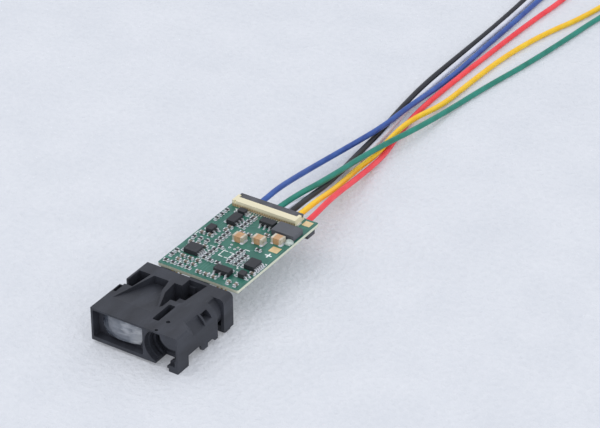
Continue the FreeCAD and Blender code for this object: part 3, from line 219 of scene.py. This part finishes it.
# ---- collimator ----
# A black-anodised aluminium barrel, turned in the tube's thread to focus the beam, holds the front lens.
# A screwed ring keeps the lens against its shoulder; turning marks run round both.
black_anodise, place = new_material("black_anodise")
turning = place.stretched(0.05, 8.0, 0.05).noise(0.0006, 2.0)
wear = place.noise(0.0007, 4.0).step(0.6, 0.78)
complete(place, (wear * 0.35).mix(shade(40, 43, 50), shade(120, 122, 128)), turning * 0.2 + 0.3, turning,
         0.000006, Metallic=0.55)
dress(black_anodise, "collimator_barrel", "lens_retainer")

# ---- circuit board ----
# Glass-fibre laminate of 0.6 mm with green solder mask over the copper on both faces.
# Its sawn edges show the cream laminate, and two beads of adhesive hold its front on the holder's ledge.
BOARD_LOW, BOARD_HIGH = 0.0058, 0.0064
MASK_DARK, MASK_LIGHT, TRACK_GREEN = shade(44, 104, 90), shade(58, 118, 103), shade(74, 136, 119)

board_laminate, place = new_material("board_laminate")
height = place.axis("Z")
edge = (height > BOARD_LOW + 0.00003) * (height < BOARD_HIGH - 0.00003)
pour = place.noise(0.0035, 2.0)
weave = place.stretched(1.0, 1.0, 0.2).noise(0.00035, 2.0)
fibre = place.stretched(1.0, 1.0, 9.0).noise(0.0006, 4.0)
mask = pour.step(0.42, 0.58).mix(MASK_DARK, MASK_LIGHT)
laminate = fibre.mix(shade(202, 205, 182), shade(230, 231, 213))
complete(place, edge.mix(mask, laminate), weave * 0.12 + edge * 0.4 + 0.26, weave + pour * 2.0, 0.000008,
         Specular_IOR_Level=0.5)
dress(board_laminate, "main_board")
dress(mottled("cured_epoxy", shade(196, 184, 150), shade(222, 212, 180), 0.0012, (0.2, 0.4), 0.0005, 0.00004),
      "board_adhesive")

# ---- copper tracks ----
# Etched copper 0.13 mm wide runs under the solder mask between the parts.
# The mask dips beside it, so each track shows as a slightly raised, paler line.
TRACK_WIDTH, TRACK_RISE = 0.00013, 0.000014
SUNK = 0.00001      # how far the foot of a thin layer goes into the board
TRACKS = [      # each track's points on the board: x, y in mm
    [(-6.9, -2.0), (-6.9, 0.6), (-6.3, 1.2), (-6.3, 1.7)],
    [(-5.2, -2.0), (-5.2, 0.4), (-4.9, 0.8), (-4.9, 1.7)],
    [(-3.6, -2.6), (-3.6, 0.9), (-3.9, 1.3), (-3.9, 1.7)], [(-2.2, -2.9), (-2.2, 3.4), (-3.0, 3.7)],
    [(-1.6, -2.9), (-1.6, 4.6), (-0.6, 5.6)], [(-1.1, -2.9), (-1.1, 4.3), (0.1, 5.5), (0.1, 6.2)],
    [(-0.6, -2.9), (-0.6, 3.9), (0.7, 5.2), (0.7, 6.1)],
    [(-0.1, -2.9), (-0.1, 1.2), (1.2, 2.5), (1.2, 5.9)], [(0.5, -2.9), (0.5, 0.4), (1.7, 0.4)],
    [(1.4, 2.1), (3.0, 3.7), (4.0, 3.7)], [(1.8, 2.0), (3.0, 3.2), (4.0, 3.2)],
    [(2.2, 1.2), (2.2, 1.9), (3.4, 1.9)], [(7.9, -2.5), (7.9, 4.2), (7.2, 4.9), (6.9, 4.9)],
    [(7.4, -2.0), (7.4, 2.6), (6.9, 3.1)], [(-6.9, 4.8), (-6.9, 8.2), (-6.4, 8.7)],
    [(-6.2, 4.3), (-6.2, 6.6)], [(-5.7, 4.3), (-5.7, 5.8), (-4.9, 6.6), (-4.9, 11.7), (-4.4, 12.2)],
    [(-4.6, 4.3), (-4.6, 5.5), (-3.9, 6.2)], [(-3.9, 6.2), (-3.9, 10.6), (-3.2, 11.3), (-3.2, 12.4)],
    [(-3.3, 6.4), (-3.3, 9.8), (-2.0, 11.1), (-2.0, 14.0)], [(-2.7, 4.4), (-2.7, 7.0), (-1.4, 8.3)],
    [(-2.2, 5.0), (-2.2, 6.6), (-1.1, 7.7), (-0.7, 7.7)], [(-1.5, 9.9), (-1.5, 14.0), (0.2, 14.9)],
    [(-0.9, 10.6), (-0.9, 13.2), (0.5, 14.6)], [(1.6, 8.6), (1.6, 11.9), (3.6, 13.9)],
    [(2.2, 7.0), (2.2, 8.0), (2.7, 8.5)], [(3.2, 7.0), (5.4, 9.2), (5.4, 9.4)],
    [(7.9, 11.4), (7.9, 16.8), (7.2, 17.5), (7.2, 18.6)], [(8.1, 5.0), (8.1, 10.6)],
    [(-6.6, 11.0), (-6.6, 16.2), (-6.1, 16.7)], [(-6.2, 11.2), (-6.2, 15.2), (-5.2, 16.2)],
    [(-5.3, 11.0), (-5.3, 14.9), (-4.8, 15.4)], [(-3.0, 14.6), (-3.0, 16.9)], [(-2.5, 14.3), (-2.5, 16.9)],
    [(-2.0, 14.4), (-2.0, 16.9)], [(-1.5, 14.2), (-1.5, 16.9)], [(-1.0, 15.4), (-1.0, 16.9)],
    [(0.0, 16.3), (0.0, 16.9)], [(3.2, 11.2), (3.2, 12.6), (4.2, 13.4)], [(-7.1, 12.0), (-7.1, 17.2)],
]


def put_piece(name, grids, material, body="module"):
    """One mesh of closed skins from points shaped copies x rows x columns x 3, riding on a body.

    The columns wrap round an axis anticlockwise, the rows go along it, and the first and last row are capped.
    """
    copies, rows, columns = grids.shape[:3]
    index = np.arange(copies * rows * columns).reshape(copies, rows, columns)
    beside = np.roll(index, -1, axis=2)
    quads = np.stack([index[:, :-1], beside[:, :-1], beside[:, 1:], index[:, 1:]], axis=-1).reshape(-1, 4)
    caps = np.concatenate([index[:, 0, ::-1], index[:, -1]])
    mesh = bpy.data.meshes.new(name)
    mesh.from_pydata(grids.reshape(-1, 3), [], quads.tolist() + caps.tolist())
    mesh.materials.append(material)
    piece = bpy.data.objects.new(name, mesh)
    bpy.context.scene.collection.objects.link(piece)
    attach(piece, body)
    return piece


def raised_lines(ends, width, low, high, corners=12):
    """Flat lines with round ends: each is the outline of a half circle about each of its two ends.

    ends is copies x 2 x 2, in metres; a point of the outline is its end + width / 2 * (cos a, sin a), with a
    turning from a quarter turn right of the line's direction to a quarter left, then on round the other end.
    Neighbours in the list end a few micrometres apart in height, so that no two tops share a plane.
    """
    along = ends[:, 1] - ends[:, 0]
    heading = np.arctan2(along[:, 1], along[:, 0])[:, None]
    turn = np.linspace(-pi / 2, pi / 2, corners // 2)[None, :]
    angle = np.concatenate([heading + turn, heading + turn + pi], axis=1)
    centre = np.repeat(ends[:, ::-1], corners // 2, axis=1)
    outline = centre + width / 2 * np.stack([np.cos(angle), np.sin(angle)], axis=-1)
    flat = np.repeat(outline[:, None], 2, axis=1)
    rise = np.tile(np.array([low, high])[None, :, None, None], (len(ends), 1, flat.shape[2], 1))
    rise[:, 1] += 0.0000025 * (np.arange(len(ends)) % 3)[:, None, None]
    return np.concatenate([flat, rise], axis=-1)


ends = np.array([pair for track in TRACKS for pair in zip(track, track[1:])]) / 1000
covered_copper, place = new_material("covered_copper")
pour = place.noise(0.0012, 2.0)
complete(place, pour.mix(MASK_LIGHT, TRACK_GREEN), pour * 0.1 + 0.26, pour, 0.000003)
put_piece("board_tracks", raised_lines(ends, TRACK_WIDTH, BOARD_HIGH - SUNK, BOARD_HIGH + TRACK_RISE, 8),
          covered_copper)

# ---- printed marks ----
# White epoxy ink, screen-printed on the mask before the parts go on: lines round the parts, dots at their
# first leads, and a square for a part that is left off.
PRINT_WIDTH, PRINT_RISE = 0.00019, 0.000018
PRINTED_CORNERS = [     # boxes in mm whose corners are printed: x0, x1, y0, y1, length of each arm
    (-0.2, 1.7, 3.45, 5.15, 0.72), (-6.35, -2.3, 0.75, 3.8, 0.3),
    (4.6, 8.2, 1.8, 5.3, 0.25), (1.6, 5.5, -2.0, 0.9, 0.3),
]
PRINTED_LINES = [       # single printed lines in mm: x, y to x, y
    ((-4.9, -1.6), (-4.1, -1.6)), ((-2.9, 5.2), (-2.1, 5.2)), ((-7.2, 6.9), (-7.2, 7.7)),
    ((2.7, 7.2), (3.5, 7.2)), ((-6.7, 13.6), (-6.7, 14.4)), ((7.6, 12.2), (8.2, 12.2)),
    ((-5.9, 17.0), (-5.1, 17.0)), ((5.5, 12.9), (7.3, 12.9)), ((-6.6, 0.6), (-6.6, 0.601)),
    ((-0.25, 5.5), (-0.25, 5.501)), ((1.4, -2.2), (1.4, -2.201)),
]
arms = [((x, y), (x + (reach if x == x0 else -reach), y)) for x0, x1, y0, y1, reach in PRINTED_CORNERS
        for x in (x0, x1) for y in (y0, y1)]
arms += [((x, y), (x, y + (reach if y == y0 else -reach))) for x0, x1, y0, y1, reach in PRINTED_CORNERS
         for x in (x0, x1) for y in (y0, y1)]
screen_ink = mottled("screen_ink", shade(214, 220, 218), shade(240, 242, 240), 0.0006, (0.5, 0.7), 0.0002,
                     0.000006)
put_piece("printed_marks", raised_lines(np.array(arms + PRINTED_LINES) / 1000, PRINT_WIDTH, BOARD_HIGH - SUNK,
                                        BOARD_HIGH + PRINT_RISE), screen_ink)

# ---- bare pads ----
# Two large test pads at the right edge, left open in the mask: copper with gold over nickel, scratched
# by probes. The plus mark beside them is printed white.
PLUS_CENTRE = (0.0069, 0.00775)
PLUS_REACH = 0.0009
pad_gold, place = new_material("pad_gold")
plus = ((abs(place.axis("X") - PLUS_CENTRE[0]) < PLUS_REACH)
        * (abs(place.axis("Y") - PLUS_CENTRE[1]) < PLUS_REACH))
tarnish, probe = place.noise(0.0007), place.stretched(1.0, 0.2, 1.0).noise(0.00025, 3.0)
gold = tarnish.mix(shade(224, 192, 138), shade(244, 220, 176))
complete(place, plus.mix(gold, shade(238, 240, 238)), probe * 0.2 + plus * 0.25 + 0.28, probe, 0.000005,
         Metallic=(1 - plus) * 0.4)
dress(pad_gold, "test_pads")

# ---- chips ----
# Black epoxy packages, matt from the mould, each with a laser-marked dot at its first lead.
# The bigger two are a shielded power inductor in grey ferrite and the processor under the board.
DOT_EDGE, DOT_INSET = 0.00004, 2.2      # blur at the dot's rim; its centre from the corner, in its radii
CHIPS = {       # package: dark shade, light shade, radius of the marked dot
    "receiver_amplifier": ((34, 35, 39), (50, 51, 56), 0.00022),
    "laser_driver": ((30, 31, 35), (46, 47, 52), 0.00016),
    "mixer_chip": ((32, 33, 37), (48, 49, 54), 0.00022),
    "level_shifter": ((34, 34, 38), (50, 50, 55), 0.0001),
    "voltage_reference": ((34, 34, 38), (50, 50, 55), 0.0001),
    "comparator_chip": ((32, 33, 37), (48, 49, 54), 0.00014),
    "small_regulator": ((34, 34, 38), (52, 52, 57), 0.0001),
    "bias_switch": ((32, 33, 36), (48, 49, 53), 0.00014),
    "power_inductor": ((70, 72, 77), (98, 100, 106), 0.0),
    "processor": ((30, 31, 34), (44, 45, 49), 0.0003),
    "bias_coil": ((52, 53, 58), (70, 71, 77), 0.0),
}
for package, (dark, light, dot_radius) in CHIPS.items():
    epoxy, place = new_material(package + "_epoxy")
    low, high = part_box(package)
    inset = DOT_INSET * dot_radius
    away = place.stretched(1.0, 1.0, 0.0).distance((low[0] + inset, low[1] + inset, 0.0))
    dot = away.step(dot_radius, dot_radius - DOT_EDGE) if dot_radius else 0.0
    filler, bloom = place.noise(0.00012, 2.0), place.noise(0.0014)
    complete(place, (bloom * 0.7 + filler * 0.3 + dot * 1.6).mix(shade(*dark), shade(*light)),
             filler * 0.2 + 0.42 - dot * 0.12, filler - dot * 2.0, 0.000007)
    dress(epoxy, package)

# ---- solder and leads ----
# Tin-plated copper leads and end caps, reflowed: each sits in a small bright concave fillet of solder.
PAD_HEIGHT = 0.00002                            # copper pad under each fillet
BLOCK_CORNERS, GULL_LEAD_CORNERS = 24, 48       # mesh points of an end cap and of a bent lead

bright_tin, place = new_material("bright_tin")
frost = place.noise(0.00018, 3.0)
complete(place, frost.mix(shade(206, 208, 212), shade(244, 244, 246)), frost * 0.3 + 0.2, frost, 0.000008,
         Metallic=0.7)
dress(bright_tin, "via_rings", "fpc_contacts", "fpc_hold_downs", "chip_leads", "chip_part_ends",
      "underside_part_ends", "processor_pads", "wire_pads", "wire_solder")


def solid_boxes(name, corners):
    """The low and high corners of each of a node's like solids, which keep their points one after another."""
    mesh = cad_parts[name].data
    points = np.empty(len(mesh.vertices) * 3)
    mesh.vertices.foreach_get("co", points)
    solids = points.reshape(-1, corners, 3)
    return solids.min(axis=1), solids.max(axis=1)


def fillets(low, high, spread, climb, foot, columns=12, rows=4):
    """Concave collars round boxes: half size + spread * (1 - t)^2 at the height climb * t above the foot.

    t runs from 0 to 1 over the rows. Each ring is a rounded rectangle, made from the square roots of the
    cosine and the sine with their signs kept.
    """
    angle = np.arange(columns) * 2 * pi / columns
    corner = np.stack([np.sign(np.cos(angle)) * np.abs(np.cos(angle)) ** 0.5,
                       np.sign(np.sin(angle)) * np.abs(np.sin(angle)) ** 0.5], axis=-1)
    t = np.linspace(0.0, 1.0, rows)[None, :, None, None]
    centre, half = ((low + high) / 2)[:, None, None, :2], ((high - low) / 2)[:, None, None, :2]
    flat = centre + (half * 0.98 + spread * (1 - t) ** 2) * corner[None, None]
    rise = foot + climb * t * (high - low)[:, None, None, 2:]
    return np.concatenate([flat, np.broadcast_to(rise, flat.shape[:3] + (1,))], axis=-1)


solder_alloy, place = new_material("solder_alloy")
frost = place.noise(0.00025, 3.0)
complete(place, frost.mix(shade(196, 198, 204), shade(240, 241, 243)), frost * 0.2 + 0.22, frost, 0.00001,
         Metallic=0.8)
FILLETS = {     # name: node, points of each solid, spread in metres, climb as a share of the solid's height
    "part_fillets": ("chip_part_ends", BLOCK_CORNERS, 0.00011, 0.6),
    "capacitor_fillets": ("tan_capacitor_ends", BLOCK_CORNERS, 0.0002, 0.35),
    "lead_fillets": ("chip_leads", GULL_LEAD_CORNERS, 0.00007, 0.22),
    "underside_fillets": ("underside_part_ends", BLOCK_CORNERS, 0.00011, -0.6),
}
for name, (node, corners, spread, climb) in FILLETS.items():
    foot = BOARD_HIGH + PAD_HEIGHT if climb > 0 else BOARD_LOW - PAD_HEIGHT
    collars = fillets(*solid_boxes(node, corners), spread, climb, foot)
    put_piece(name, collars if climb > 0 else collars[:, ::-1], solder_alloy)

# ---- staking dot ----
# One drop of pale silicone over the last chip resistor ties it to the inductor's corner against knocks.
# It sets as a soft flat dome: radius R * (1 + 0.06 * sin(3a)) * sqrt(1 - t^2.4) at the height t * H.
DOT_CENTRE, DOT_RADIUS, DOT_HEIGHT = (0.00768, 0.01278), 0.00078, 0.00064
angle = np.arange(36) * 2 * pi / 36
t = np.sin(np.linspace(0.0, pi / 2, 14))[:, None]
ring = DOT_RADIUS * (1 + 0.06 * np.sin(3 * angle)[None, :]) * np.sqrt(1 - (0.998 * t) ** 2.4)
dome = np.stack([DOT_CENTRE[0] + ring * np.cos(angle), DOT_CENTRE[1] + ring * np.sin(angle),
                 BOARD_HIGH + DOT_HEIGHT * t + np.zeros_like(ring)], axis=-1)
silicone = mottled("pale_silicone", shade(158, 172, 164), shade(204, 212, 206), 0.0005, (0.25, 0.45), 0.0003,
                   0.00001)
put_piece("staking_dot", dome[None], silicone)

# ---- resistors and ceramic capacitors ----
# Chip resistors show a black glazed film on white alumina; the ceramic capacitors are fired a dull brown.
ALUMINA_THICK = 0.00022
film, place = new_material("resistor_film")
grain = place.noise(0.00015, 3.0)
alumina = place.axis("Z") < BOARD_HIGH + ALUMINA_THICK
complete(place, alumina.mix(grain.mix(shade(26, 26, 30), shade(44, 44, 50)), shade(226, 226, 222)),
         grain * 0.2 + alumina * 0.2 + 0.25, grain, 0.000006)
dress(film, "chip_resistors")
dress(mottled("fired_ceramic", shade(96, 88, 80), shade(142, 130, 116), 0.0009, (0.4, 0.6), 0.00015,
              0.000006), "chip_capacitors", "underside_capacitors")

# ---- tan capacitors ----
# Three large ceramic capacitors between the receiver and the inductor, orange-tan with a chalky skin.
# Their dipped end caps have dulled to a warm grey.
dress(mottled("tan_ceramic", shade(182, 140, 98), shade(208, 168, 128), 0.0008, (0.45, 0.65), 0.00018,
              0.000008), "tan_capacitors")
dress(mottled("dulled_tin", shade(190, 178, 156), shade(224, 216, 200), 0.0007, (0.35, 0.6), 0.0002, 0.00001,
              Metallic=0.3), "tan_capacitor_ends")

# ---- flat-cable socket ----
# A cream housing of glass-filled polymer with twenty gold contacts, soldered on at the rear edge.
# A grey flap turns on its two stubs and clamps the cable; the wall in front of it is a darker tan towards its
# bottom.
CONTACT_FIRST, CONTACT_PITCH, CONTACT_WIDTH = -0.00535, 0.0005, 0.0002
CONTACT_TOP, TAN_LOW, TAN_HIGH = 0.0069, 0.00675, 0.0072      # heights on the front wall
cream_polymer, place = new_material("cream_polymer")
fibre, cloud = place.stretched(0.25, 1.0, 1.0).noise(0.0003, 4.0), place.noise(0.002)
height = place.axis("Z")
front = place.axis("Y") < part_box("fpc_housing")[0][1] + 0.00012
contact = (place.axis("X") - CONTACT_FIRST) * (1 / CONTACT_PITCH)
off_contact = abs(place.node("Math", {"operation": "FRACT"}, {0: contact + 100.5}) - 0.5)
grooves = (off_contact < CONTACT_WIDTH / 2 / CONTACT_PITCH) * front * (height < CONTACT_TOP)
body = (cloud * 0.6 + fibre * 0.4).mix(shade(226, 216, 182), shade(240, 232, 202))
tan_front = fibre.mix(shade(176, 150, 110), shade(204, 180, 140))
# the front wall turns a darker tan towards its bottom
wall = (front * height.step(TAN_HIGH, TAN_LOW)).mix(body, tan_front)
complete(place, grooves.mix(wall, shade(160, 136, 98)),
         fibre * 0.15 + 0.4, fibre - grooves * 0.8,
         0.00001)
dress(cream_polymer, "fpc_housing")
dress(mottled("flap_polymer", shade(66, 67, 72), shade(88, 89, 95), 0.0015, (0.4, 0.55), 0.00015, 0.000008),
      "fpc_flap")


# ---- flying leads ----
# Six PVC-insulated hook-up leads of 1.04 mm come out from under the board's rear edge, one colour each.
# They fan back loosely over the sheet, cross each other, and end in stripped and tinned strands.
LEAD_RADIUS = 0.00052
STRAND_RADIUS = 0.00024
BARE_END = 0.00295          # tinned strands at the far end
CORE_LENGTH = 0.00138       # bare cores soldered under the board
LEAD_START = (0.01975, 0.00524)     # where the insulation begins under the board: y, z
BOARD_REAR = 0.02075                # y that the routes are measured from
LEADS = {
    # name: insulated length, start x, dark shade, light shade, then x, distance behind the board and z in mm
    "blue": (0.1155, -4.4, (38, 72, 148), (58, 98, 176), [
        (-4.5, 2.6, 5.15), (-4.9, 8.0, 4.8), (-5.5, 14.5, 3.5), (-5.8, 22.0, 2.2), (-4.6, 31.0, 1.9),
        (-3.2, 40.5, 1.85), (-3.2, 50.0, 1.65), (-3.3, 59.0, 0.7), (-3.2, 68.0, 0.53), (-3.7, 80.0, 0.53),
        (-3.9, 92.0, 0.53), (-4.4, 104.0, 0.53), (-4.3, 114.0, 0.53)]),
    "green": (0.114, -1.0, (14, 116, 98), (32, 140, 122), [
        (-1.0, 2.8, 5.2), (-0.5, 8.0, 5.12), (0.1, 13.5, 4.65), (0.25, 20.0, 3.9), (0.3, 27.0, 3.1),
        (1.0, 35.0, 2.4), (2.2, 44.0, 1.6), (2.9, 54.5, 0.6), (4.2, 65.0, 0.53), (6.5, 77.5, 0.53),
        (8.1, 90.0, 0.53), (9.3, 101.5, 0.53), (11.0, 112.0, 0.53)]),
    "white": (0.1188, 0.4, (206, 208, 220), (226, 227, 236), [
        (0.3, 2.8, 5.1), (0.05, 8.0, 3.9), (-0.6, 13.5, 2.2), (-1.0, 19.0, 0.9), (-1.3, 25.0, 0.53),
        (-1.8, 32.0, 0.53), (-2.4, 39.0, 0.53), (-3.7, 48.0, 0.53), (-4.7, 58.0, 0.53), (-4.9, 70.0, 0.53),
        (-5.1, 83.0, 0.53), (-5.4, 96.0, 0.53), (-6.1, 108.0, 0.53), (-6.0, 117.0, 0.53)]),
    "black": (0.1179, 1.6, (20, 21, 26), (38, 40, 48), [
        (1.5, 2.6, 5.15), (1.05, 8.0, 4.6), (0.15, 14.5, 3.25), (-0.75, 21.0, 2.3), (-2.0, 28.0, 1.6),
        (-3.2, 34.5, 0.7), (-3.9, 41.0, 0.53), (-5.1, 49.5, 0.53), (-6.1, 60.0, 0.53), (-6.2, 72.0, 0.53),
        (-6.2, 85.0, 0.53), (-6.6, 98.0, 0.53), (-7.4, 109.0, 0.53), (-7.5, 116.0, 0.53)]),
    "yellow": (0.1134, 3.1, (248, 188, 14), (255, 212, 46), [
        (3.2, 2.8, 5.1), (2.9, 8.0, 4.7), (2.4, 13.5, 3.6), (1.2, 20.0, 2.2), (0.2, 26.0, 1.25),
        (0.5, 32.0, 1.25), (-0.2, 38.5, 1.7), (-0.4, 45.5, 1.65), (0.9, 55.0, 0.6), (0.9, 65.0, 0.53),
        (1.4, 78.0, 0.53), (3.4, 90.0, 0.53), (6.9, 101.0, 0.53), (8.3, 111.0, 0.53)]),
    "red": (0.116, 5.6, (235, 48, 62), (250, 76, 84), [
        (5.6, 2.4, 5.2), (4.7, 8.0, 4.7), (3.7, 13.5, 3.7), (2.8, 20.0, 2.4), (1.9, 28.0, 1.2),
        (1.0, 34.5, 0.55), (-0.5, 41.0, 0.53), (-1.8, 50.0, 0.53), (-2.0, 60.0, 0.53), (-1.8, 71.0, 0.53),
        (-1.5, 83.0, 0.53), (-1.1, 94.0, 0.53), (-0.2, 105.0, 0.53), (-0.4, 114.0, 0.53)]),
}


def strands(starts, ends, twist=1400.0, columns=42, rows=26):
    """Seven tinned wires twisted together: at the angle a, R * (0.88 + 0.12 * |cos(3.5 * (a - twist * s))|).

    s is the way along the core in metres, and the last rows round off by the square root of 1 - (2t - 1)^16.
    """
    along = ends - starts
    reach = np.linalg.norm(along, axis=1, keepdims=True)
    axis = along / reach
    side = np.cross(axis, (0.0, 0.0, 1.0))
    side /= np.linalg.norm(side, axis=1, keepdims=True)
    over = np.cross(axis, side)
    angle = (np.arange(columns) * 2 * pi / columns)[None, None, :, None]
    t = np.linspace(0.0, 1.0, rows)[None, :, None, None]
    round_off = 0.55 + 0.45 * np.sqrt(1 - np.abs(2 * t - 1) ** 16)
    lay = angle - twist * t * reach[:, None, None]
    radius = STRAND_RADIUS * round_off * (0.88 + 0.12 * np.abs(np.cos(3.5 * lay)))
    turn = np.cos(angle) * side[:, None, None] + np.sin(angle) * over[:, None, None]
    return starts[:, None, None] + t * along[:, None, None] + radius * turn


cores = np.array([(start_x / 1000, *LEAD_START) for _, start_x, _, _, _ in LEADS.values()])
bare_cores = put_piece("bare_cores", strands(cores - (0.0, CORE_LENGTH, 0.0), cores), bright_tin)
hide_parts("stripped_cores")
for colour, (length, start_x, dark, light, route) in LEADS.items():
    pvc, place = new_material(colour + "_pvc")
    cloud, rub = place.noise(0.003), place.stretched(1.0, 0.3, 1.0).noise(0.0005)
    complete(place, (cloud * 0.7 + rub * 0.3).step(0.35, 0.65).mix(shade(*dark), shade(*light)),
             rub * 0.2 + 0.32, rub, 0.00001, IOR=1.5)
    points = np.array([(start_x / 1000, *LEAD_START)]
                      + [(x / 1000, BOARD_REAR + behind / 1000, z / 1000) for x, behind, z in route])
    line = bpy.data.curves.new(colour + "_lead", "CURVE")
    line.dimensions, line.resolution_u = "3D", 14
    line.bevel_depth, line.bevel_resolution, line.use_fill_caps = LEAD_RADIUS, 5, True
    spline = line.splines.new("NURBS")
    spline.points.add(len(points) - 1)
    spline.points.foreach_set("co", np.column_stack([points, np.ones(len(points))]).ravel())
    spline.order_u, spline.use_endpoint_u = 3, True
    line.materials.append(pvc)
    lead = bpy.data.objects.new(colour + "_lead", line)
    bpy.context.scene.collection.objects.link(lead)
    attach(lead, "module")
    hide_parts(colour + "_wire")
    heading = points[-1] - points[-2]
    heading *= BARE_END / np.linalg.norm(heading)
    bare_end = put_piece(colour + "_strands", strands(points[-1:], points[-1:] + heading), bright_tin)
    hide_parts(colour + "_wire_end")


# ---- surface, light and camera ----
# The module lies on a pale fibrous sheet under a wide soft lamp, in a room as pale as the sheet.
SHEET_HALF = 1.5
LAMP_PLACE, LAMP_ENERGY = (-0.34, -0.1, 0.62), 0.7
FILL_PLACE, FILL_ENERGY = (0.6, -0.25, 0.34), 0.65
LAMP_WIDTH, LAMP_COLOUR = 0.6, (1.0, 0.985, 0.96)
SUBJECT = Vector((-0.001304, 0.03003, 0.0))
CAMERA_AZIMUTH, CAMERA_ELEVATION, CAMERA_ROLL = radians(33.033), radians(32.121), radians(-0.245)
CAMERA_DISTANCE = 0.446482
SENSOR_WIDTH, FOCAL_LENGTH = 36.0, 153.4036     # millimetres
FIBRE_GLOW = 0.22       # share of the sheet's colour that light wandering through its fibres adds


def pale_rays(signal):
    """1 for rays that see the pale backdrop: those from the camera, off gloss and through glass."""
    return (signal.node("LightPath", {}, {}, "Is Camera Ray")
            + signal.node("LightPath", {}, {}, "Is Glossy Ray")
            + signal.node("LightPath", {}, {}, "Is Transmission Ray"))


sheet_felt, place = new_material("sheet_felt")
clouds, fibres = place.noise(0.012), place.noise(0.0011, 5.0)
felt = (clouds * 0.5 + fibres * 0.5).step(0.3, 0.7).mix(shade(218, 221, 228), shade(229, 231, 237))
relief = place.node("Bump", {}, {"Distance": 0.0004, "Height": fibres})
lit = place.node("BsdfPrincipled", {}, {"Base Color": felt, "Roughness": 0.95, "Specular IOR Level": 0.1,
                                        "Normal": relief})
glow = place.node("BsdfPrincipled", {}, {     # light that has wandered through the loose fibres
    "Base Color": (0.0, 0.0, 0.0, 1.0), "Specular IOR Level": 0.0, "Emission Color": felt,
    "Emission Strength": 1.0})
place.node("OutputMaterial", {}, {"Surface": place.node("MixShader", {}, {
    0: pale_rays(place) * FIBRE_GLOW, 1: lit, 2: glow})})
sheet = bpy.data.objects.new("pale_sheet", bpy.data.meshes.new("pale_sheet"))
corners = [(x * SHEET_HALF, y * SHEET_HALF, 0.0) for x, y in ((-1, -1), (1, -1), (1, 1), (-1, 1))]
sheet.data.from_pydata(corners, [], [(0, 1, 2, 3)])
sheet.data.materials.append(sheet_felt)
bpy.context.scene.collection.objects.link(sheet)

for name, stand, energy in (("soft_lamp", LAMP_PLACE, LAMP_ENERGY), ("soft_fill", FILL_PLACE, FILL_ENERGY)):
    lamp = bpy.data.objects.new(name, bpy.data.lights.new(name, "AREA"))
    lamp.data.shape, lamp.data.size = "DISK", LAMP_WIDTH
    lamp.data.energy, lamp.data.color = energy, LAMP_COLOUR
    lamp.location, lamp.visible_camera = stand, False
    lamp.rotation_euler = (SUBJECT - Vector(stand)).to_track_quat("-Z", "Y").to_euler()
    bpy.context.scene.collection.objects.link(lamp)

room = bpy.data.worlds.new("pale_room")
room.use_nodes = True
room.node_tree.nodes.clear()
rays = Signal(room.node_tree, None)
walls = rays.node("Background", {}, {"Color": (0.92, 0.95, 1.0, 1.0), "Strength": 0.94})
backdrop = rays.node("Background", {}, {"Color": shade(226, 229, 238), "Strength": 1.0})
seen = rays.node("MixShader", {}, {0: pale_rays(rays), 1: walls, 2: backdrop})
rays.node("OutputWorld", {}, {"Surface": seen})
bpy.context.scene.world = room

camera = bpy.data.objects.new("camera", bpy.data.cameras.new("camera"))
camera.data.sensor_width, camera.data.lens = SENSOR_WIDTH, FOCAL_LENGTH
camera.data.clip_start, camera.data.clip_end = 0.01, 10.0
back = Vector((np.sin(CAMERA_AZIMUTH) * np.cos(CAMERA_ELEVATION),
               -np.cos(CAMERA_AZIMUTH) * np.cos(CAMERA_ELEVATION), np.sin(CAMERA_ELEVATION)))
aim = back.to_track_quat("Z", "Y").to_matrix().to_4x4()
camera.matrix_world = (Matrix.Translation(SUBJECT + back * CAMERA_DISTANCE) @ aim
                       @ Matrix.Rotation(CAMERA_ROLL, 4, "Z"))
bpy.context.scene.collection.objects.link(camera)
bpy.context.scene.camera = camera
bpy.context.scene.view_settings.view_transform = "Standard"
